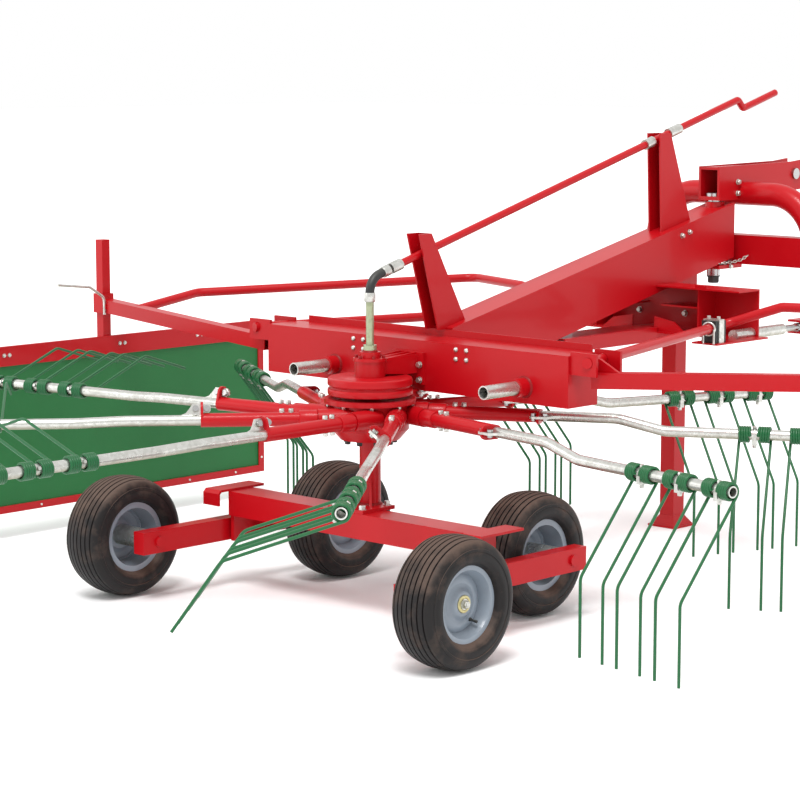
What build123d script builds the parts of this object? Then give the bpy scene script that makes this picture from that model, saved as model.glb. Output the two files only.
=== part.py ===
from build123d import *
import os
from math import atan2, cos, degrees, hypot, radians, sin, sqrt, tan

os.makedirs("parts", exist_ok=True)

# Single rotor hay rake, towed on a three point headstock, parked on its stand.
# Millimetres. +Y is the way it is towed, +X its right, +Z up, wheels on z = 0.
# The model is laid out around the rotor's axis and moved to its plan centre when it is written.
PLAN_SHIFT = (82.17, -381.36)

# Clearances that several pieces share
RUNNING_GAP = 0.08
SLIDING_GAP = 0.4
SOFT_GAP = 0.3
FREE_GAP = 6.0

# Wheels and rockers
TYRE_RADIUS = 203.0
TYRE_WIDTH = 165.0
BEAD_RADIUS = 104.0
RIM_RADIUS = 122.0
RIM_WIDTH = 116.0
HUB_RADIUS = 34.0
STUB_RADIUS = 14.0
WHEEL_BASE = 712.0
AXLE_Y = -64.0
ROCKER_X = 596.0
WHEEL_OFFSET = 156.0
ROCKER_WIDTH = 50.0
ROCKER_HEIGHT = 75.0
ROCKER_END = 66.0

# Axle beam and mast
AXLE_TOP = 337.0
AXLE_HEIGHT = 83.0
AXLE_DEPTH = 110.0
MAST_RADIUS = 35.0
MAST_TOP = 760.0
STOP_REACH = 106.0
STOP_DROP = 46.0

# Rotor
ARM_COUNT = 9
FIRST_ARM_ANGLE = -11.0
ARM_HEIGHT = 646.0
ARM_OFFSET = 94.0
SHAFT_RADIUS = 22.5
SHAFT_START = 92.0
JOINT_REACH = 552.0
JOINT_DROP = 37.0
JOINT_PIN_RADIUS = 6.0
TUBE_RADIUS = 17.0
TUBE_WALL = 4.0
TUBE_DROP = 35.0
TUBE_BEND_START = 800.0
TUBE_BEND_END = 950.0
TUBE_END = 1621.0
FIRST_COIL = 1185.0
PAIR_PITCH = 163.0
PAIRS = 3
COIL_LENGTH = 46.0
CLAMP_LENGTH = 18.0
COIL_RADIUS = 27.5
WIRE_RADIUS = 4.75
TINE_UPPER = 345.0
TINE_LOWER = 235.0
TINE_RAKE = 36.0
BELL_RADIUS = 128.0
BELL_BOTTOM = 565.0
FLANGE_RADIUS = 150.0
FLANGE_TOP = 700.0
HUB_BORE = 35.4

# Rolls of the nine arms: the cam lifts the tines over the swath on the left
ARM_ROLLS = (
    # arm, roll in degrees
    ("right", 0.0),
    ("front_right", 0.0),
    ("front", 0.0),
    ("front_left", 0.0),
    ("left_front", 0.0),
    ("left", 73.0),
    ("left_rear", 73.0),
    ("rear", 73.0),
    ("right_rear", 35.0),
)

# Cam housing and gearbox
CAP_RADIUS = 139.0
CAP_BOTTOM = 709.0
CAP_TOP = 768.0
CAP_RIM = 18.0
GEARBOX_TOP = 826.0
GEARBOX_RADIUS = 50.0
NECK_HALF = 34.0
FLANGE_HALF = 70.0
COVER_RADIUS = 34.0
COVER_TOP = 850.0
SHAFT_HEIGHT = 795.0
INPUT_RADIUS = 15.0
STUB_SHAFT_RADIUS = 17.45
STUB_SHAFT_START = 1574.0
STUB_SHAFT_END = 1650.0
TUNNEL_REAR = 905.0

# Frame
CROSS_HALF = 680.0
CROSS_REAR = 188.0
CROSS_DEPTH = 145.0
CROSS_BOTTOM = 709.0
CROSS_HEIGHT = 166.0
CROSS_LIP = 24.0
SHEET = 5.0
BEAM_WIDTH = 120.0
BEAM_HEIGHT = 205.0
BEAM_REAR_TOP = 905.0
BEAM_FRONT = 1905.0
BEAM_SLOPE = 12.5
BRACKET_HALF = 430.0
BRACKET_REAR = 1430.0
BRACKET_DEPTH = 125.0
BRACKET_BOTTOM = 800.0
BRACKET_TOP = 975.0
PLATE = 6.0

# Crank and its posts
CRANK_FOOT = (100.0, 1115.0)
CRANK_SLOPE = 0.275
CRANK_RADIUS = 13.0
CRANK_JOG_Y = 1995.0
CRANK_JOG = 42.0
CRANK_GRIP_END = 2236.0
SPINDLE_RADIUS = 13.0
SPINDLE_TOP = 1012.0
POST_WIDTH = 60.0

# Headstock
KINGPIN_Y = 1860.0
KINGPIN_RADIUS = 25.0
BEARING_RADIUS = 36.0
BEARING_BOTTOM = 1028.0
BEARING_TOP = 1258.0
ARCH_RADIUS = 44.0
ARCH_WALL = 6.0
ARCH_Y = 1985.0
ARCH_TOP = 1285.0
ARCH_HALF = 365.0
ARCH_BEND = 190.0
ARCH_FOOT = 700.0
TIE_REAR = 1948.0
TIE_DEPTH = 80.0
TIE_BOTTOM = 1020.0
TIE_HEIGHT = 110.0
TOP_BOX_REAR = 1822.0
TOP_BOX_FRONT = 2385.0
TOP_BOX_BOTTOM = 1264.0
TOP_BOX_TOP = 1390.0
TOP_BOX_WIDTH = 96.0
TOP_PIN_Y = 2310.0
TOP_PIN_Z = 1349.0
TOP_PIN_RADIUS = 12.7
LOWER_PIN_Y = 2150.0
LOWER_PIN_Z = 745.0
LOWER_PIN_RADIUS = 14.0
LOWER_PIN_LENGTH = 78.0
LOWER_PIN_SHOULDER = 412.5
SHOULDER_COLLAR = 6.0
HITCH_PLATE = 12.0

# Parking stand
STAND_X = -165.0
STAND_Y = 1840.0
STAND_SIZE = 65.0
STAND_TOP = 1075.0
SLEEVE_BOTTOM = 770.0
SLEEVE_TOP = 1062.0
FOOT_WIDTH = 130.0

# Struts between bracket and headstock
STRUT_X = 400.0
STRUT_Z = 815.0
STRUT_RADIUS = 20.0
STRUT_REAR = 1440.0
STRUT_FRONT = 1740.0
ROD_RADIUS = 12.0
ROD_REAR = 1560.0
EYE_INNER = 18.0
EYE_OUTER = 27.0
EYE_PIN_RADIUS = 8.0

# Guards: the inner tube is the line they fold about
FOLD_REAR = (CROSS_HALF + 55.0, 250.0, 858.0)
FOLD_FRONT = (BRACKET_HALF - 5.0, 1290.0, 858.0)
FOLD_OVERRUN = 90.0
GUARD_RADIUS = 17.0
GUARD_BAR = 50.0
GUARD_START = (CROSS_HALF + 57.0, 250.0, 799.0)
GUARD_END = (1804.0, 398.0, 846.0)
RIGHT_GUARD_END = (1684.0, 381.0, 862.0)
GUARD_CORNERS = (
    # outward from the middle, forward, height
    (600.0, 1450.0, 930.0),
    (960.0, 1580.0, 930.0),
    (1600.0, 680.0, 890.0),
    (1600.0, 371.0, 846.0),
)
GUARD_BEND = 55.0

# Swath curtain
CURTAIN_X = -1800.0
CURTAIN_REAR = -600.0
CURTAIN_FRONT = 1210.0
CURTAIN_TOP = 725.0
CURTAIN_BOTTOM = 100.0
CLOTH = 4.0
RAIL_HEIGHT = 70.0
RAIL_SHEET = 5.0
STRIP_WIDTH = 28.0
CURTAIN_POST = 38.0
CURTAIN_POST_TOP = 1100.0
COLLAR_BOTTOM = 818.0


def rod(start, end, radius):
    """Solid round bar between two points."""
    start = Vector(*start)
    run = Vector(*end) - start
    base = Plane(origin=start, z_dir=run)
    return base * Cylinder(radius, run.length, align=(Align.CENTER, Align.CENTER, Align.MIN))


def pipe(start, end, outer, inner):
    """Round tube between two points."""
    return rod(start, end, outer) - rod(start, end, inner)


def block(low, high):
    """Box between its lowest and its highest corner."""
    size = [b - a for a, b in zip(low, high)]
    middle = [(a + b) / 2 for a, b in zip(low, high)]
    return Pos(*middle) * Box(*size)


def bar(start, end, width, height, wall=0.0):
    """Rectangular bar or tube along a line, its height as near to upright as the line lets it."""
    start = Vector(*start)
    run = Vector(*end) - start
    side = run.cross(Vector(0, 0, 1))
    base = Plane(origin=start, x_dir=side, z_dir=run)
    section = Rectangle(width, height)
    if wall:
        section -= Rectangle(width - 2 * wall, height - 2 * wall)
    return extrude(base * section, run.length)


def plate_x(outline, middle, thickness):
    """Flat plate across X, outlined by (y, z) points."""
    sheet = make_face(Polyline(*outline, close=True))
    return extrude(Plane.YZ.offset(middle - thickness / 2) * sheet, thickness)


def plate_y(outline, rear, thickness):
    """Flat plate across Y, outlined by (x, z) points."""
    sheet = make_face(Polyline(*outline, close=True))
    return extrude(Plane.XZ.offset(-rear) * sheet, -thickness)


def bent_path(points, bend):
    """Straight runs joined by arcs of one bend radius."""
    corners = [Vector(*point) for point in points]
    edges = []
    start = corners[0]
    for before, corner, after in zip(corners, corners[1:], corners[2:]):
        inward = (before - corner).normalized()
        outward = (after - corner).normalized()
        half_angle = radians(inward.get_angle(outward)) / 2
        cut = bend / tan(half_angle)
        middle = corner + (inward + outward).normalized() * (bend / sin(half_angle) - bend)
        edges.append(Line(start, corner + inward * cut))
        edges.append(ThreePointArc(corner + inward * cut, middle, corner + outward * cut))
        start = corner + outward * cut
    edges.append(Line(start, corners[-1]))
    return Wire(edges)


def bent_bar(points, bend, radius, wall=0.0):
    """Round bar or tube along a bent path."""
    path = bent_path(points, bend)
    base = Plane(origin=path @ 0, z_dir=path % 0)
    section = Circle(radius)
    if wall:
        section -= Circle(radius - wall)
    return sweep(base * section, path=path)


def mirrored(shape):
    """The same piece on the machine's other side."""
    return mirror(shape, about=Plane.YZ)


def beam_top(y):
    """Height of the sloping beam's upper face."""
    return BEAM_REAR_TOP + (y - CROSS_REAR - CROSS_DEPTH) * tan(radians(BEAM_SLOPE))


def crank_height(y):
    """Height of the crank rod's centre line."""
    return CRANK_FOOT[1] + (y - CRANK_FOOT[0]) * CRANK_SLOPE


def wheel_places():
    """Name, side, centre, and which way the wheel stands off its rocker."""
    places = []
    for side_name, side in (("left", -1), ("right", 1)):
        for end_name, end in (("rear", -1), ("front", 1)):
            outward = -end * side
            centre = (side * ROCKER_X + outward * WHEEL_OFFSET, AXLE_Y + end * WHEEL_BASE / 2, TYRE_RADIUS)
            places.append((f"{end_name}_{side_name}", centre, outward))
    return places


def tyre(centre, outward):
    """Implement tyre with a flat crown and a straight bead."""
    half = TYRE_WIDTH / 2
    bead = RIM_WIDTH / 2 - PLATE - SOFT_GAP
    crown = TYRE_RADIUS - 6.0
    with BuildSketch(Plane.XZ) as section:
        with BuildLine():
            Polyline(
                (-bead, BEAD_RADIUS),
                (bead, BEAD_RADIUS),
                (bead, RIM_RADIUS + 2),
                (half - 14, RIM_RADIUS + 9),
            )
            ThreePointArc((half - 14, RIM_RADIUS + 9), (half, RIM_RADIUS + 42), (half - 12, crown - 8))
            ThreePointArc((half - 12, crown - 8), (0, TYRE_RADIUS), (12 - half, crown - 8))
            ThreePointArc((12 - half, crown - 8), (-half, RIM_RADIUS + 42), (14 - half, RIM_RADIUS + 9))
            Polyline((14 - half, RIM_RADIUS + 9), (-bead, RIM_RADIUS + 2), (-bead, BEAD_RADIUS))
        make_face()
    return Pos(*centre) * revolve(section.sketch, Axis.X)


def rim(centre, outward):
    """Two flanges, a barrel and a dished disc that bolts to the hub."""
    half = RIM_WIDTH / 2
    seat = BEAD_RADIUS - SOFT_GAP
    dish = 16.0 * outward
    barrel = Rot(0, 90, 0) * (Cylinder(seat, RIM_WIDTH) - Cylinder(seat - PLATE, RIM_WIDTH))
    flange = Rot(0, 90, 0) * (Cylinder(RIM_RADIUS, PLATE) - Cylinder(seat - PLATE, PLATE))
    web = Rot(0, 90, 0) * (Cylinder(seat - PLATE, PLATE) - Cylinder(HUB_RADIUS, PLATE))
    whole = barrel + Pos(half - PLATE / 2, 0, 0) * flange + Pos(PLATE / 2 - half, 0, 0) * flange
    whole += Pos(dish, 0, 0) * web
    return Pos(*centre) * whole


def wheel_hub(centre, outward):
    """Zinc hub that turns on the stub axle, with its cap and washer."""
    inner = WHEEL_OFFSET - ROCKER_WIDTH / 2 - FREE_GAP
    x, y, z = centre
    body = rod((x - outward * inner, y, z), (x + outward * 40, y, z), HUB_RADIUS - 0.2)
    washer = rod((x + outward * 19.2, y, z), (x + outward * 27, y, z), HUB_RADIUS + 12)
    bore = rod((x - outward * inner, y, z), (x + outward * 30, y, z), STUB_RADIUS + RUNNING_GAP)
    return body + washer - bore


def rocker(side):
    """Box arm with stub axles: the rear one outward, the front one inward."""
    x = side * ROCKER_X
    half = WHEEL_BASE / 2 + ROCKER_END
    low = (x - ROCKER_WIDTH / 2, AXLE_Y - half, TYRE_RADIUS - ROCKER_HEIGHT / 2)
    high = (x + ROCKER_WIDTH / 2, AXLE_Y + half, TYRE_RADIUS + ROCKER_HEIGHT / 2)
    arm = block(low, high)
    for end in (-1, 1):
        outward = -end * side
        y = AXLE_Y + end * WHEEL_BASE / 2
        face = x + outward * ROCKER_WIDTH / 2
        tip = x + outward * (WHEEL_OFFSET + 28)
        back = x - outward * (ROCKER_WIDTH / 2 + 8)
        arm += rod((face - outward, y, TYRE_RADIUS), (tip, y, TYRE_RADIUS), STUB_RADIUS)
        arm += rod((x, y, TYRE_RADIUS), (back, y, TYRE_RADIUS), STUB_RADIUS + 3)
    pin = rod((x - 60, AXLE_Y, TYRE_RADIUS), (x + 60, AXLE_Y, TYRE_RADIUS), 16.0 + RUNNING_GAP)
    return arm - pin


def axle_beam():
    """Cross box with end plates, rocker pins and bent stop plates over the rockers."""
    reach = ROCKER_X - ROCKER_WIDTH / 2 - 14
    low = (-reach, AXLE_Y - AXLE_DEPTH / 2, AXLE_TOP - AXLE_HEIGHT)
    high = (reach, AXLE_Y + AXLE_DEPTH / 2, AXLE_TOP)
    beam = block(low, high)
    stop_bottom = AXLE_TOP - STOP_DROP
    for side in (-1, 1):
        cheek = side * reach
        ends = sorted((cheek - side * 14, cheek))
        beam += block((ends[0], AXLE_Y - 45, 165), (ends[1], AXLE_Y + 45, AXLE_TOP))
        outer = side * (ROCKER_X + ROCKER_WIDTH / 2 + 16)
        beam += rod((cheek - side * 10, AXLE_Y, TYRE_RADIUS), (outer, AXLE_Y, TYRE_RADIUS), 16.0)
        beam += rod((outer - side * 9, AXLE_Y, TYRE_RADIUS), (outer, AXLE_Y, TYRE_RADIUS), 26.0)
        rear, front = AXLE_Y - STOP_REACH, AXLE_Y + STOP_REACH
        folded = [
            (front, AXLE_TOP),
            (front, AXLE_TOP + 8),
            (rear + 12, AXLE_TOP + 8),
            (rear, AXLE_TOP - 4),
            (rear, stop_bottom),
            (rear + 8, stop_bottom),
            (rear + 8, AXLE_TOP - 7),
            (rear + 15, AXLE_TOP),
        ]
        beam += plate_x(folded, side * (ROCKER_X - 6), 76)
    return beam


def mast():
    """Upright tube from the axle into the rotor, on a bolted foot."""
    foot_y = AXLE_Y + 22
    foot = block((-80, foot_y - 75, AXLE_TOP), (80, foot_y + 75, AXLE_TOP + 12))
    tube = rod((0, 0, AXLE_TOP), (0, 0, MAST_TOP), MAST_RADIUS)
    gussets = []
    for angle in (45, 135, 225, 315):
        fin = plate_y([(MAST_RADIUS - 2, 0), (75, 0), (MAST_RADIUS - 2, 90)], -4, 8)
        gussets.append(Pos(0, 0, AXLE_TOP + 12) * Rot(0, 0, angle) * fin)
    return foot + tube + gussets[2] + gussets[3]


def arm_place(index, roll):
    """Location of an arm's own frame: X along the arm, Y the way it is driven, Z up."""
    turn = FIRST_ARM_ANGLE + index * 360.0 / ARM_COUNT
    return Pos(0, 0, ARM_HEIGHT) * Rot(0, 0, turn) * Pos(0, ARM_OFFSET, 0) * Rot(-roll, 0, 0)


def arm_shaft():
    """Round shaft that the cam rolls, with a slotted ear across its outer end."""
    shaft = rod((SHAFT_START, 0, 0), (JOINT_REACH, 0, 0), SHAFT_RADIUS)
    ear = Pos(JOINT_REACH - 4, -JOINT_DROP / 2, 0) * Box(8, JOINT_DROP, 2 * SHAFT_RADIUS)
    ear += rod((JOINT_REACH - 8, -JOINT_DROP, 0), (JOINT_REACH, -JOINT_DROP, 0), SHAFT_RADIUS)
    slot = block((JOINT_REACH - 9, -JOINT_DROP - 30, -4.4), (JOINT_REACH + 1, -SHAFT_RADIUS - 1, 4.4))
    return shaft + ear - slot


def arm_tube():
    """Tube with a pinned cheek, a double bend and an open outer end."""
    points = [
        (JOINT_REACH, 0, 0),
        (TUBE_BEND_START, 0, 0),
        (TUBE_BEND_END, 0, -TUBE_DROP),
        (TUBE_END, 0, -TUBE_DROP),
    ]
    tube = bent_bar(points, 140.0, TUBE_RADIUS)
    tube -= rod((TUBE_END - 60, 0, -TUBE_DROP), (TUBE_END, 0, -TUBE_DROP), TUBE_RADIUS - TUBE_WALL)
    outline = [
        (JOINT_REACH, -6),
        (JOINT_REACH, -SHAFT_RADIUS - 2),
        (JOINT_REACH - 26, -SHAFT_RADIUS - 2),
        (JOINT_REACH - 32, -JOINT_DROP + 6),
        (JOINT_REACH - 32, -JOINT_DROP - 8),
        (JOINT_REACH - 24, -JOINT_DROP - 16),
        (JOINT_REACH + 26, -JOINT_DROP - 16),
        (JOINT_REACH + 36, -JOINT_DROP),
        (JOINT_REACH + 48, -SHAFT_RADIUS),
        (JOINT_REACH + 76, -12),
        (JOINT_REACH + 76, -6),
    ]
    cheek = extrude(Plane.XY.offset(-4) * make_face(Polyline(*outline, close=True)), 8)
    for x, y in joint_pin_places():
        cheek -= Pos(x, y, 0) * Cylinder(JOINT_PIN_RADIUS + 0.3, 20)
    return tube + cheek


def joint_pin_places():
    """Plan places of an arm joint's two pins, either side of the ear."""
    return [(JOINT_REACH - 20, -JOINT_DROP), (JOINT_REACH + 16, -JOINT_DROP)]


def arm_pins():
    """Two headed pins through the cheek."""
    pins = []
    for x, y in joint_pin_places():
        pin = Pos(x, y, 0) * Cylinder(JOINT_PIN_RADIUS, 26)
        pin += Pos(x, y, 9) * Cylinder(10, 8)
        pin += Pos(x, y, -8) * Cylinder(9, 6)
        pins.append(pin)
    return pins


def pair_starts():
    """Where each double tine begins along its arm."""
    return [FIRST_COIL + index * PAIR_PITCH for index in range(PAIRS)]


def clamp(start):
    """Saddle under the tube, between the two coils of a double tine."""
    x = start + COIL_LENGTH + CLAMP_LENGTH / 2
    saddle = Pos(x, 0, -TUBE_DROP - 18) * Box(CLAMP_LENGTH - 4, 32, 26)
    return saddle - rod((x - 40, 0, -TUBE_DROP), (x + 40, 0, -TUBE_DROP), TUBE_RADIUS)


def double_tine(start):
    """Two coils on the tube, joined by a bridge, each with a bent tine."""
    rake = radians(TINE_RAKE)
    mean = (COIL_RADIUS + TUBE_RADIUS + RUNNING_GAP) / 2
    centre_z = -TUBE_DROP
    leave = Vector(0, mean * cos(rake), -mean * sin(rake))
    down = Vector(0, -sin(rake), -cos(rake))
    whole = None
    length = 2 * COIL_LENGTH + CLAMP_LENGTH
    inset = WIRE_RADIUS + 1.0
    second = start + length - COIL_LENGTH
    for coil_start, wire_x in ((start, start + inset), (second, start + length - inset)):
        coil_end = (coil_start + COIL_LENGTH, 0, centre_z)
        coil = pipe((coil_start, 0, centre_z), coil_end, COIL_RADIUS, TUBE_RADIUS + RUNNING_GAP)
        top = Vector(wire_x, 0, centre_z) + leave
        elbow = top + down * TINE_UPPER
        tip = elbow + Vector(0, 0, -TINE_LOWER)
        tine = bent_bar([tuple(top), tuple(elbow), tuple(tip)], 40.0, WIRE_RADIUS)
        whole = coil + tine if whole is None else whole + coil + tine
    bridge_y = COIL_RADIUS - 1
    bridge_start = (start + COIL_LENGTH - 6, bridge_y, centre_z)
    bridge_end = (start + length - COIL_LENGTH + 6, bridge_y, centre_z)
    return whole + rod(bridge_start, bridge_end, WIRE_RADIUS)


def rotor_hub():
    """Flanged bell with nine sockets set off to one side of the axis."""
    with BuildSketch(Plane.XZ) as section:
        with BuildLine():
            Polyline(
                (HUB_BORE, BELL_BOTTOM),
                (BELL_RADIUS - 30, BELL_BOTTOM),
                (BELL_RADIUS, BELL_BOTTOM + 34),
                (BELL_RADIUS, FLANGE_TOP - 16),
                (FLANGE_RADIUS, FLANGE_TOP - 16),
                (FLANGE_RADIUS, FLANGE_TOP),
                (HUB_BORE, FLANGE_TOP),
                close=True,
            )
        make_face()
    hub = revolve(section.sketch, Axis.Z)
    for index in range(ARM_COUNT):
        place = arm_place(index, 0.0)
        socket = place * rod((60, 0, 0), (176, 0, 0), SHAFT_RADIUS + 9)
        hub += socket
    for index in range(ARM_COUNT):
        place = arm_place(index, 0.0)
        hub -= place * rod((SHAFT_START - 1, 0, 0), (190, 0, 0), SHAFT_RADIUS + 0.2)
    return hub


def rotor_cap():
    """Cam housing: a grooved drum that stays with the frame."""
    drum = Pos(0, 0, (CAP_BOTTOM + CAP_TOP) / 2) * Cylinder(CAP_RADIUS - 14, CAP_TOP - CAP_BOTTOM)
    drum += Pos(0, 0, CAP_TOP - CAP_RIM / 2) * Cylinder(CAP_RADIUS, CAP_RIM)
    drum += Pos(0, 0, CAP_BOTTOM + CAP_RIM / 2) * Cylinder(CAP_RADIUS, CAP_RIM)
    return drum - rod((0, 0, CAP_BOTTOM), (0, 0, CAP_TOP), MAST_RADIUS + SLIDING_GAP)


def gearbox():
    """Round casting over the rotor, with a ribbed neck to its flange on the cross beam."""
    face = CROSS_REAR - 12
    body = rod((0, 0, CAP_TOP), (0, 0, GEARBOX_TOP), GEARBOX_RADIUS)
    body += rod((0, 0, GEARBOX_TOP - 6), (0, 0, GEARBOX_TOP + 4), GEARBOX_RADIUS + 5)
    neck_z = (CAP_TOP + 8 + GEARBOX_TOP) / 2
    neck_half = (GEARBOX_TOP - CAP_TOP - 8) / 2
    small = Plane.XZ.offset(-30) * Pos(0, neck_z) * Rectangle(2 * NECK_HALF, 2 * neck_half)
    large = Plane.XZ.offset(-face) * Pos(0, neck_z - 4) * Rectangle(2 * NECK_HALF + 24, 2 * neck_half + 16)
    body += loft([small, large])
    for x in (-NECK_HALF, 0, NECK_HALF):
        rib = [(30, GEARBOX_TOP - 10), (face, GEARBOX_TOP - 10), (face, GEARBOX_TOP + 10), (30, GEARBOX_TOP)]
        body += plate_x(rib, x, 7)
    body += block((-FLANGE_HALF, face, 730), (FLANGE_HALF, CROSS_REAR, GEARBOX_TOP + 10))
    body += rod((0, 0, GEARBOX_TOP), (0, 0, COVER_TOP), COVER_RADIUS)
    body -= rod((0, 0, CAP_TOP), (0, 0, GEARBOX_TOP - 6), MAST_RADIUS + SLIDING_GAP)
    body -= block((-200, -200, CAP_TOP - 20), (200, face, CAP_TOP))
    bore = rod((0, CROSS_REAR - 40, SHAFT_HEIGHT), (0, CROSS_REAR, SHAFT_HEIGHT), INPUT_RADIUS + RUNNING_GAP)
    return body - bore


def cross_beam():
    """Closed sheet box with a raised front lip, end caps and fold lugs for the guards."""
    low = (-CROSS_HALF, CROSS_REAR, CROSS_BOTTOM)
    high = (CROSS_HALF, CROSS_REAR + CROSS_DEPTH, CROSS_BOTTOM + CROSS_HEIGHT)
    beam = block(low, high)
    beam -= block([value + SHEET for value in low], [value - SHEET for value in high])
    lip_low = (-CROSS_HALF + 60, high[1] - SHEET, high[2])
    beam += block(lip_low, (CROSS_HALF - 20, high[1], high[2] + CROSS_LIP))
    beam -= rod((0, CROSS_REAR - 10, SHAFT_HEIGHT), (0, high[1] + 10, SHAFT_HEIGHT), INPUT_RADIUS + 10)
    fold_line = fold_axis(1)
    for side in (-1, 1):
        for y in (CROSS_REAR + 14, CROSS_REAR + CROSS_DEPTH - 12):
            ends = sorted((side * CROSS_HALF, side * (CROSS_HALF + 104)))
            lug = block((ends[0], y - 5, FOLD_REAR[2] - 42), (ends[1], y + 5, FOLD_REAR[2] + 30))
            hole = fold_line if side > 0 else mirrored(fold_line)
            beam += lug - hole
    return beam


def fold_axis(side):
    """Running space of a guard's inner tube, along the line that it folds about."""
    start, end = Vector(*FOLD_REAR), Vector(*FOLD_FRONT)
    run = (end - start).normalized()
    tube = rod(tuple(start - run * 100), tuple(end + run * 45), GUARD_RADIUS + SLIDING_GAP)
    return tube if side > 0 else mirrored(tube)


def main_beam():
    """Sloping box from the cross beam to the kingpin bearing."""
    rear = CROSS_REAR + CROSS_DEPTH
    outline = [
        (rear, beam_top(rear) - BEAM_HEIGHT),
        (BEAM_FRONT, beam_top(BEAM_FRONT) - BEAM_HEIGHT),
        (BEAM_FRONT, beam_top(BEAM_FRONT)),
        (rear, beam_top(rear)),
    ]
    inset = SHEET / cos(radians(BEAM_SLOPE))
    inner = [
        (rear, outline[0][1] + inset),
        (BEAM_FRONT - SHEET, beam_top(BEAM_FRONT - SHEET) - BEAM_HEIGHT + inset),
        (BEAM_FRONT - SHEET, beam_top(BEAM_FRONT - SHEET) - inset),
        (rear, outline[3][1] - inset),
    ]
    beam = plate_x(outline, 0, BEAM_WIDTH) - plate_x(inner, 0, BEAM_WIDTH - 2 * SHEET)
    beam -= block((-26, 610, SHAFT_HEIGHT - 55), (26, 890, SHAFT_HEIGHT + 35))
    beam += rod((0, KINGPIN_Y, BEARING_BOTTOM), (0, KINGPIN_Y, BEARING_TOP), BEARING_RADIUS)
    return beam - rod((0, KINGPIN_Y, BEARING_BOTTOM), (0, KINGPIN_Y, BEARING_TOP), KINGPIN_RADIUS + SLIDING_GAP)


def beam_space():
    """The outside of the sloping beam, which other pieces are cut to fit."""
    rear = CROSS_REAR + CROSS_DEPTH
    outline = [
        (rear, beam_top(rear) - BEAM_HEIGHT),
        (BEAM_FRONT, beam_top(BEAM_FRONT) - BEAM_HEIGHT),
        (BEAM_FRONT, beam_top(BEAM_FRONT)),
        (rear, beam_top(rear)),
    ]
    return plate_x(outline, 0, BEAM_WIDTH)


def front_bracket():
    """Channel across the beam, open to the rear, that carries the guards' rests and the struts."""
    front = BRACKET_REAR + BRACKET_DEPTH
    body = block((-BRACKET_HALF, BRACKET_REAR, BRACKET_BOTTOM), (BRACKET_HALF, front, BRACKET_TOP))
    hollow_low = (-BRACKET_HALF, BRACKET_REAR, BRACKET_BOTTOM + PLATE)
    body -= block(hollow_low, (BRACKET_HALF, front - PLATE, BRACKET_TOP - PLATE))
    for side in (-1, 1):
        ends = sorted((side * (BRACKET_HALF - 70), side * (BRACKET_HALF + 40)))
        arm = block((ends[0], FOLD_FRONT[1] - 40, BRACKET_BOTTOM), (ends[1], front, BRACKET_BOTTOM + PLATE))
        rib = block((side * 236 - 3, BRACKET_REAR + 20, BRACKET_BOTTOM), (side * 236 + 3, front, BRACKET_TOP))
        inner = sorted((side * 60, side * 236))
        shelf = block((inner[0], BRACKET_REAR + 30, 897), (inner[1], front, 903))
        wedge = [(side * 50, BRACKET_BOTTOM), (side * 200, BRACKET_BOTTOM), (side * 140, 845), (side * 50, 860)]
        body += arm + rib + shelf + plate_y(wedge, BRACKET_REAR + 4, PLATE)
        body -= strut_space(side)
    body += block((236, BRACKET_REAR, BRACKET_TOP - PLATE), (284, BRACKET_REAR + PLATE, BRACKET_TOP + 10))
    body -= beam_space()
    body -= block((-30, BRACKET_REAR - 50, SHAFT_HEIGHT - 30), (30, front + 10, SHAFT_HEIGHT + 30))
    return body


def drive_tunnel():
    """Folded cover over the input shaft, with the shaft's front bearing in its end."""
    front = BRACKET_REAR + BRACKET_DEPTH
    top = SHAFT_HEIGHT + 26
    low = SHAFT_HEIGHT - 24
    shell = block((-70, TUNNEL_REAR, low), (70, BRACKET_REAR, top))
    shell -= block((-66, TUNNEL_REAR, low), (66, BRACKET_REAR - 12, top - 4))
    shell += block((-30, BRACKET_REAR - 12, low), (30, front + 12, top))
    shell -= block((-24, BRACKET_REAR + 10, low), (24, front - 12, top - 4))
    shell -= rod((0, TUNNEL_REAR, SHAFT_HEIGHT), (0, front + 40, SHAFT_HEIGHT), INPUT_RADIUS + RUNNING_GAP)
    return shell - beam_space()


def input_shaft():
    """Shaft from the gearbox to its splined end in front of the bracket."""
    start = STUB_SHAFT_START
    shaft = rod((0, CROSS_REAR - 36, SHAFT_HEIGHT), (0, start, SHAFT_HEIGHT), INPUT_RADIUS)
    shaft += rod((0, start - 6, SHAFT_HEIGHT), (0, start, SHAFT_HEIGHT), STUB_SHAFT_RADIUS + 6.5)
    shaft += rod((0, start, SHAFT_HEIGHT), (0, STUB_SHAFT_END, SHAFT_HEIGHT), STUB_SHAFT_RADIUS)
    groove_y = STUB_SHAFT_END - 22
    groove = pipe((0, groove_y, SHAFT_HEIGHT), (0, groove_y + 7, SHAFT_HEIGHT), STUB_SHAFT_RADIUS + 1, 15)
    return shaft - groove


def post(base_rear, base_front, base_z, top_rear, top_front, top_z, space):
    """Tapered channel post, open to the rear, cut to stand on what is under it."""
    outline = [(base_rear, base_z), (base_front, base_z), (top_front, top_z), (top_rear, top_z)]
    whole = plate_x(outline, 0, POST_WIDTH)
    lean = (top_front - base_front) / (top_z - base_z)
    inner = [
        (base_rear - 300, base_z - 1),
        (base_front - PLATE - lean, base_z - 1),
        (top_front - PLATE + lean, top_z + 1),
        (top_rear - 300, top_z + 1),
    ]
    whole -= plate_x(inner, 0, POST_WIDTH - 2 * PLATE)
    return whole - space - crank_line(CRANK_RADIUS + 1.0)


def crank_line(radius):
    """Straight space along the crank rod."""
    start, end = CRANK_FOOT[0] - 20, CRANK_JOG_Y
    return rod((0, start, crank_height(start)), (0, end, crank_height(end)), radius)


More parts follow.
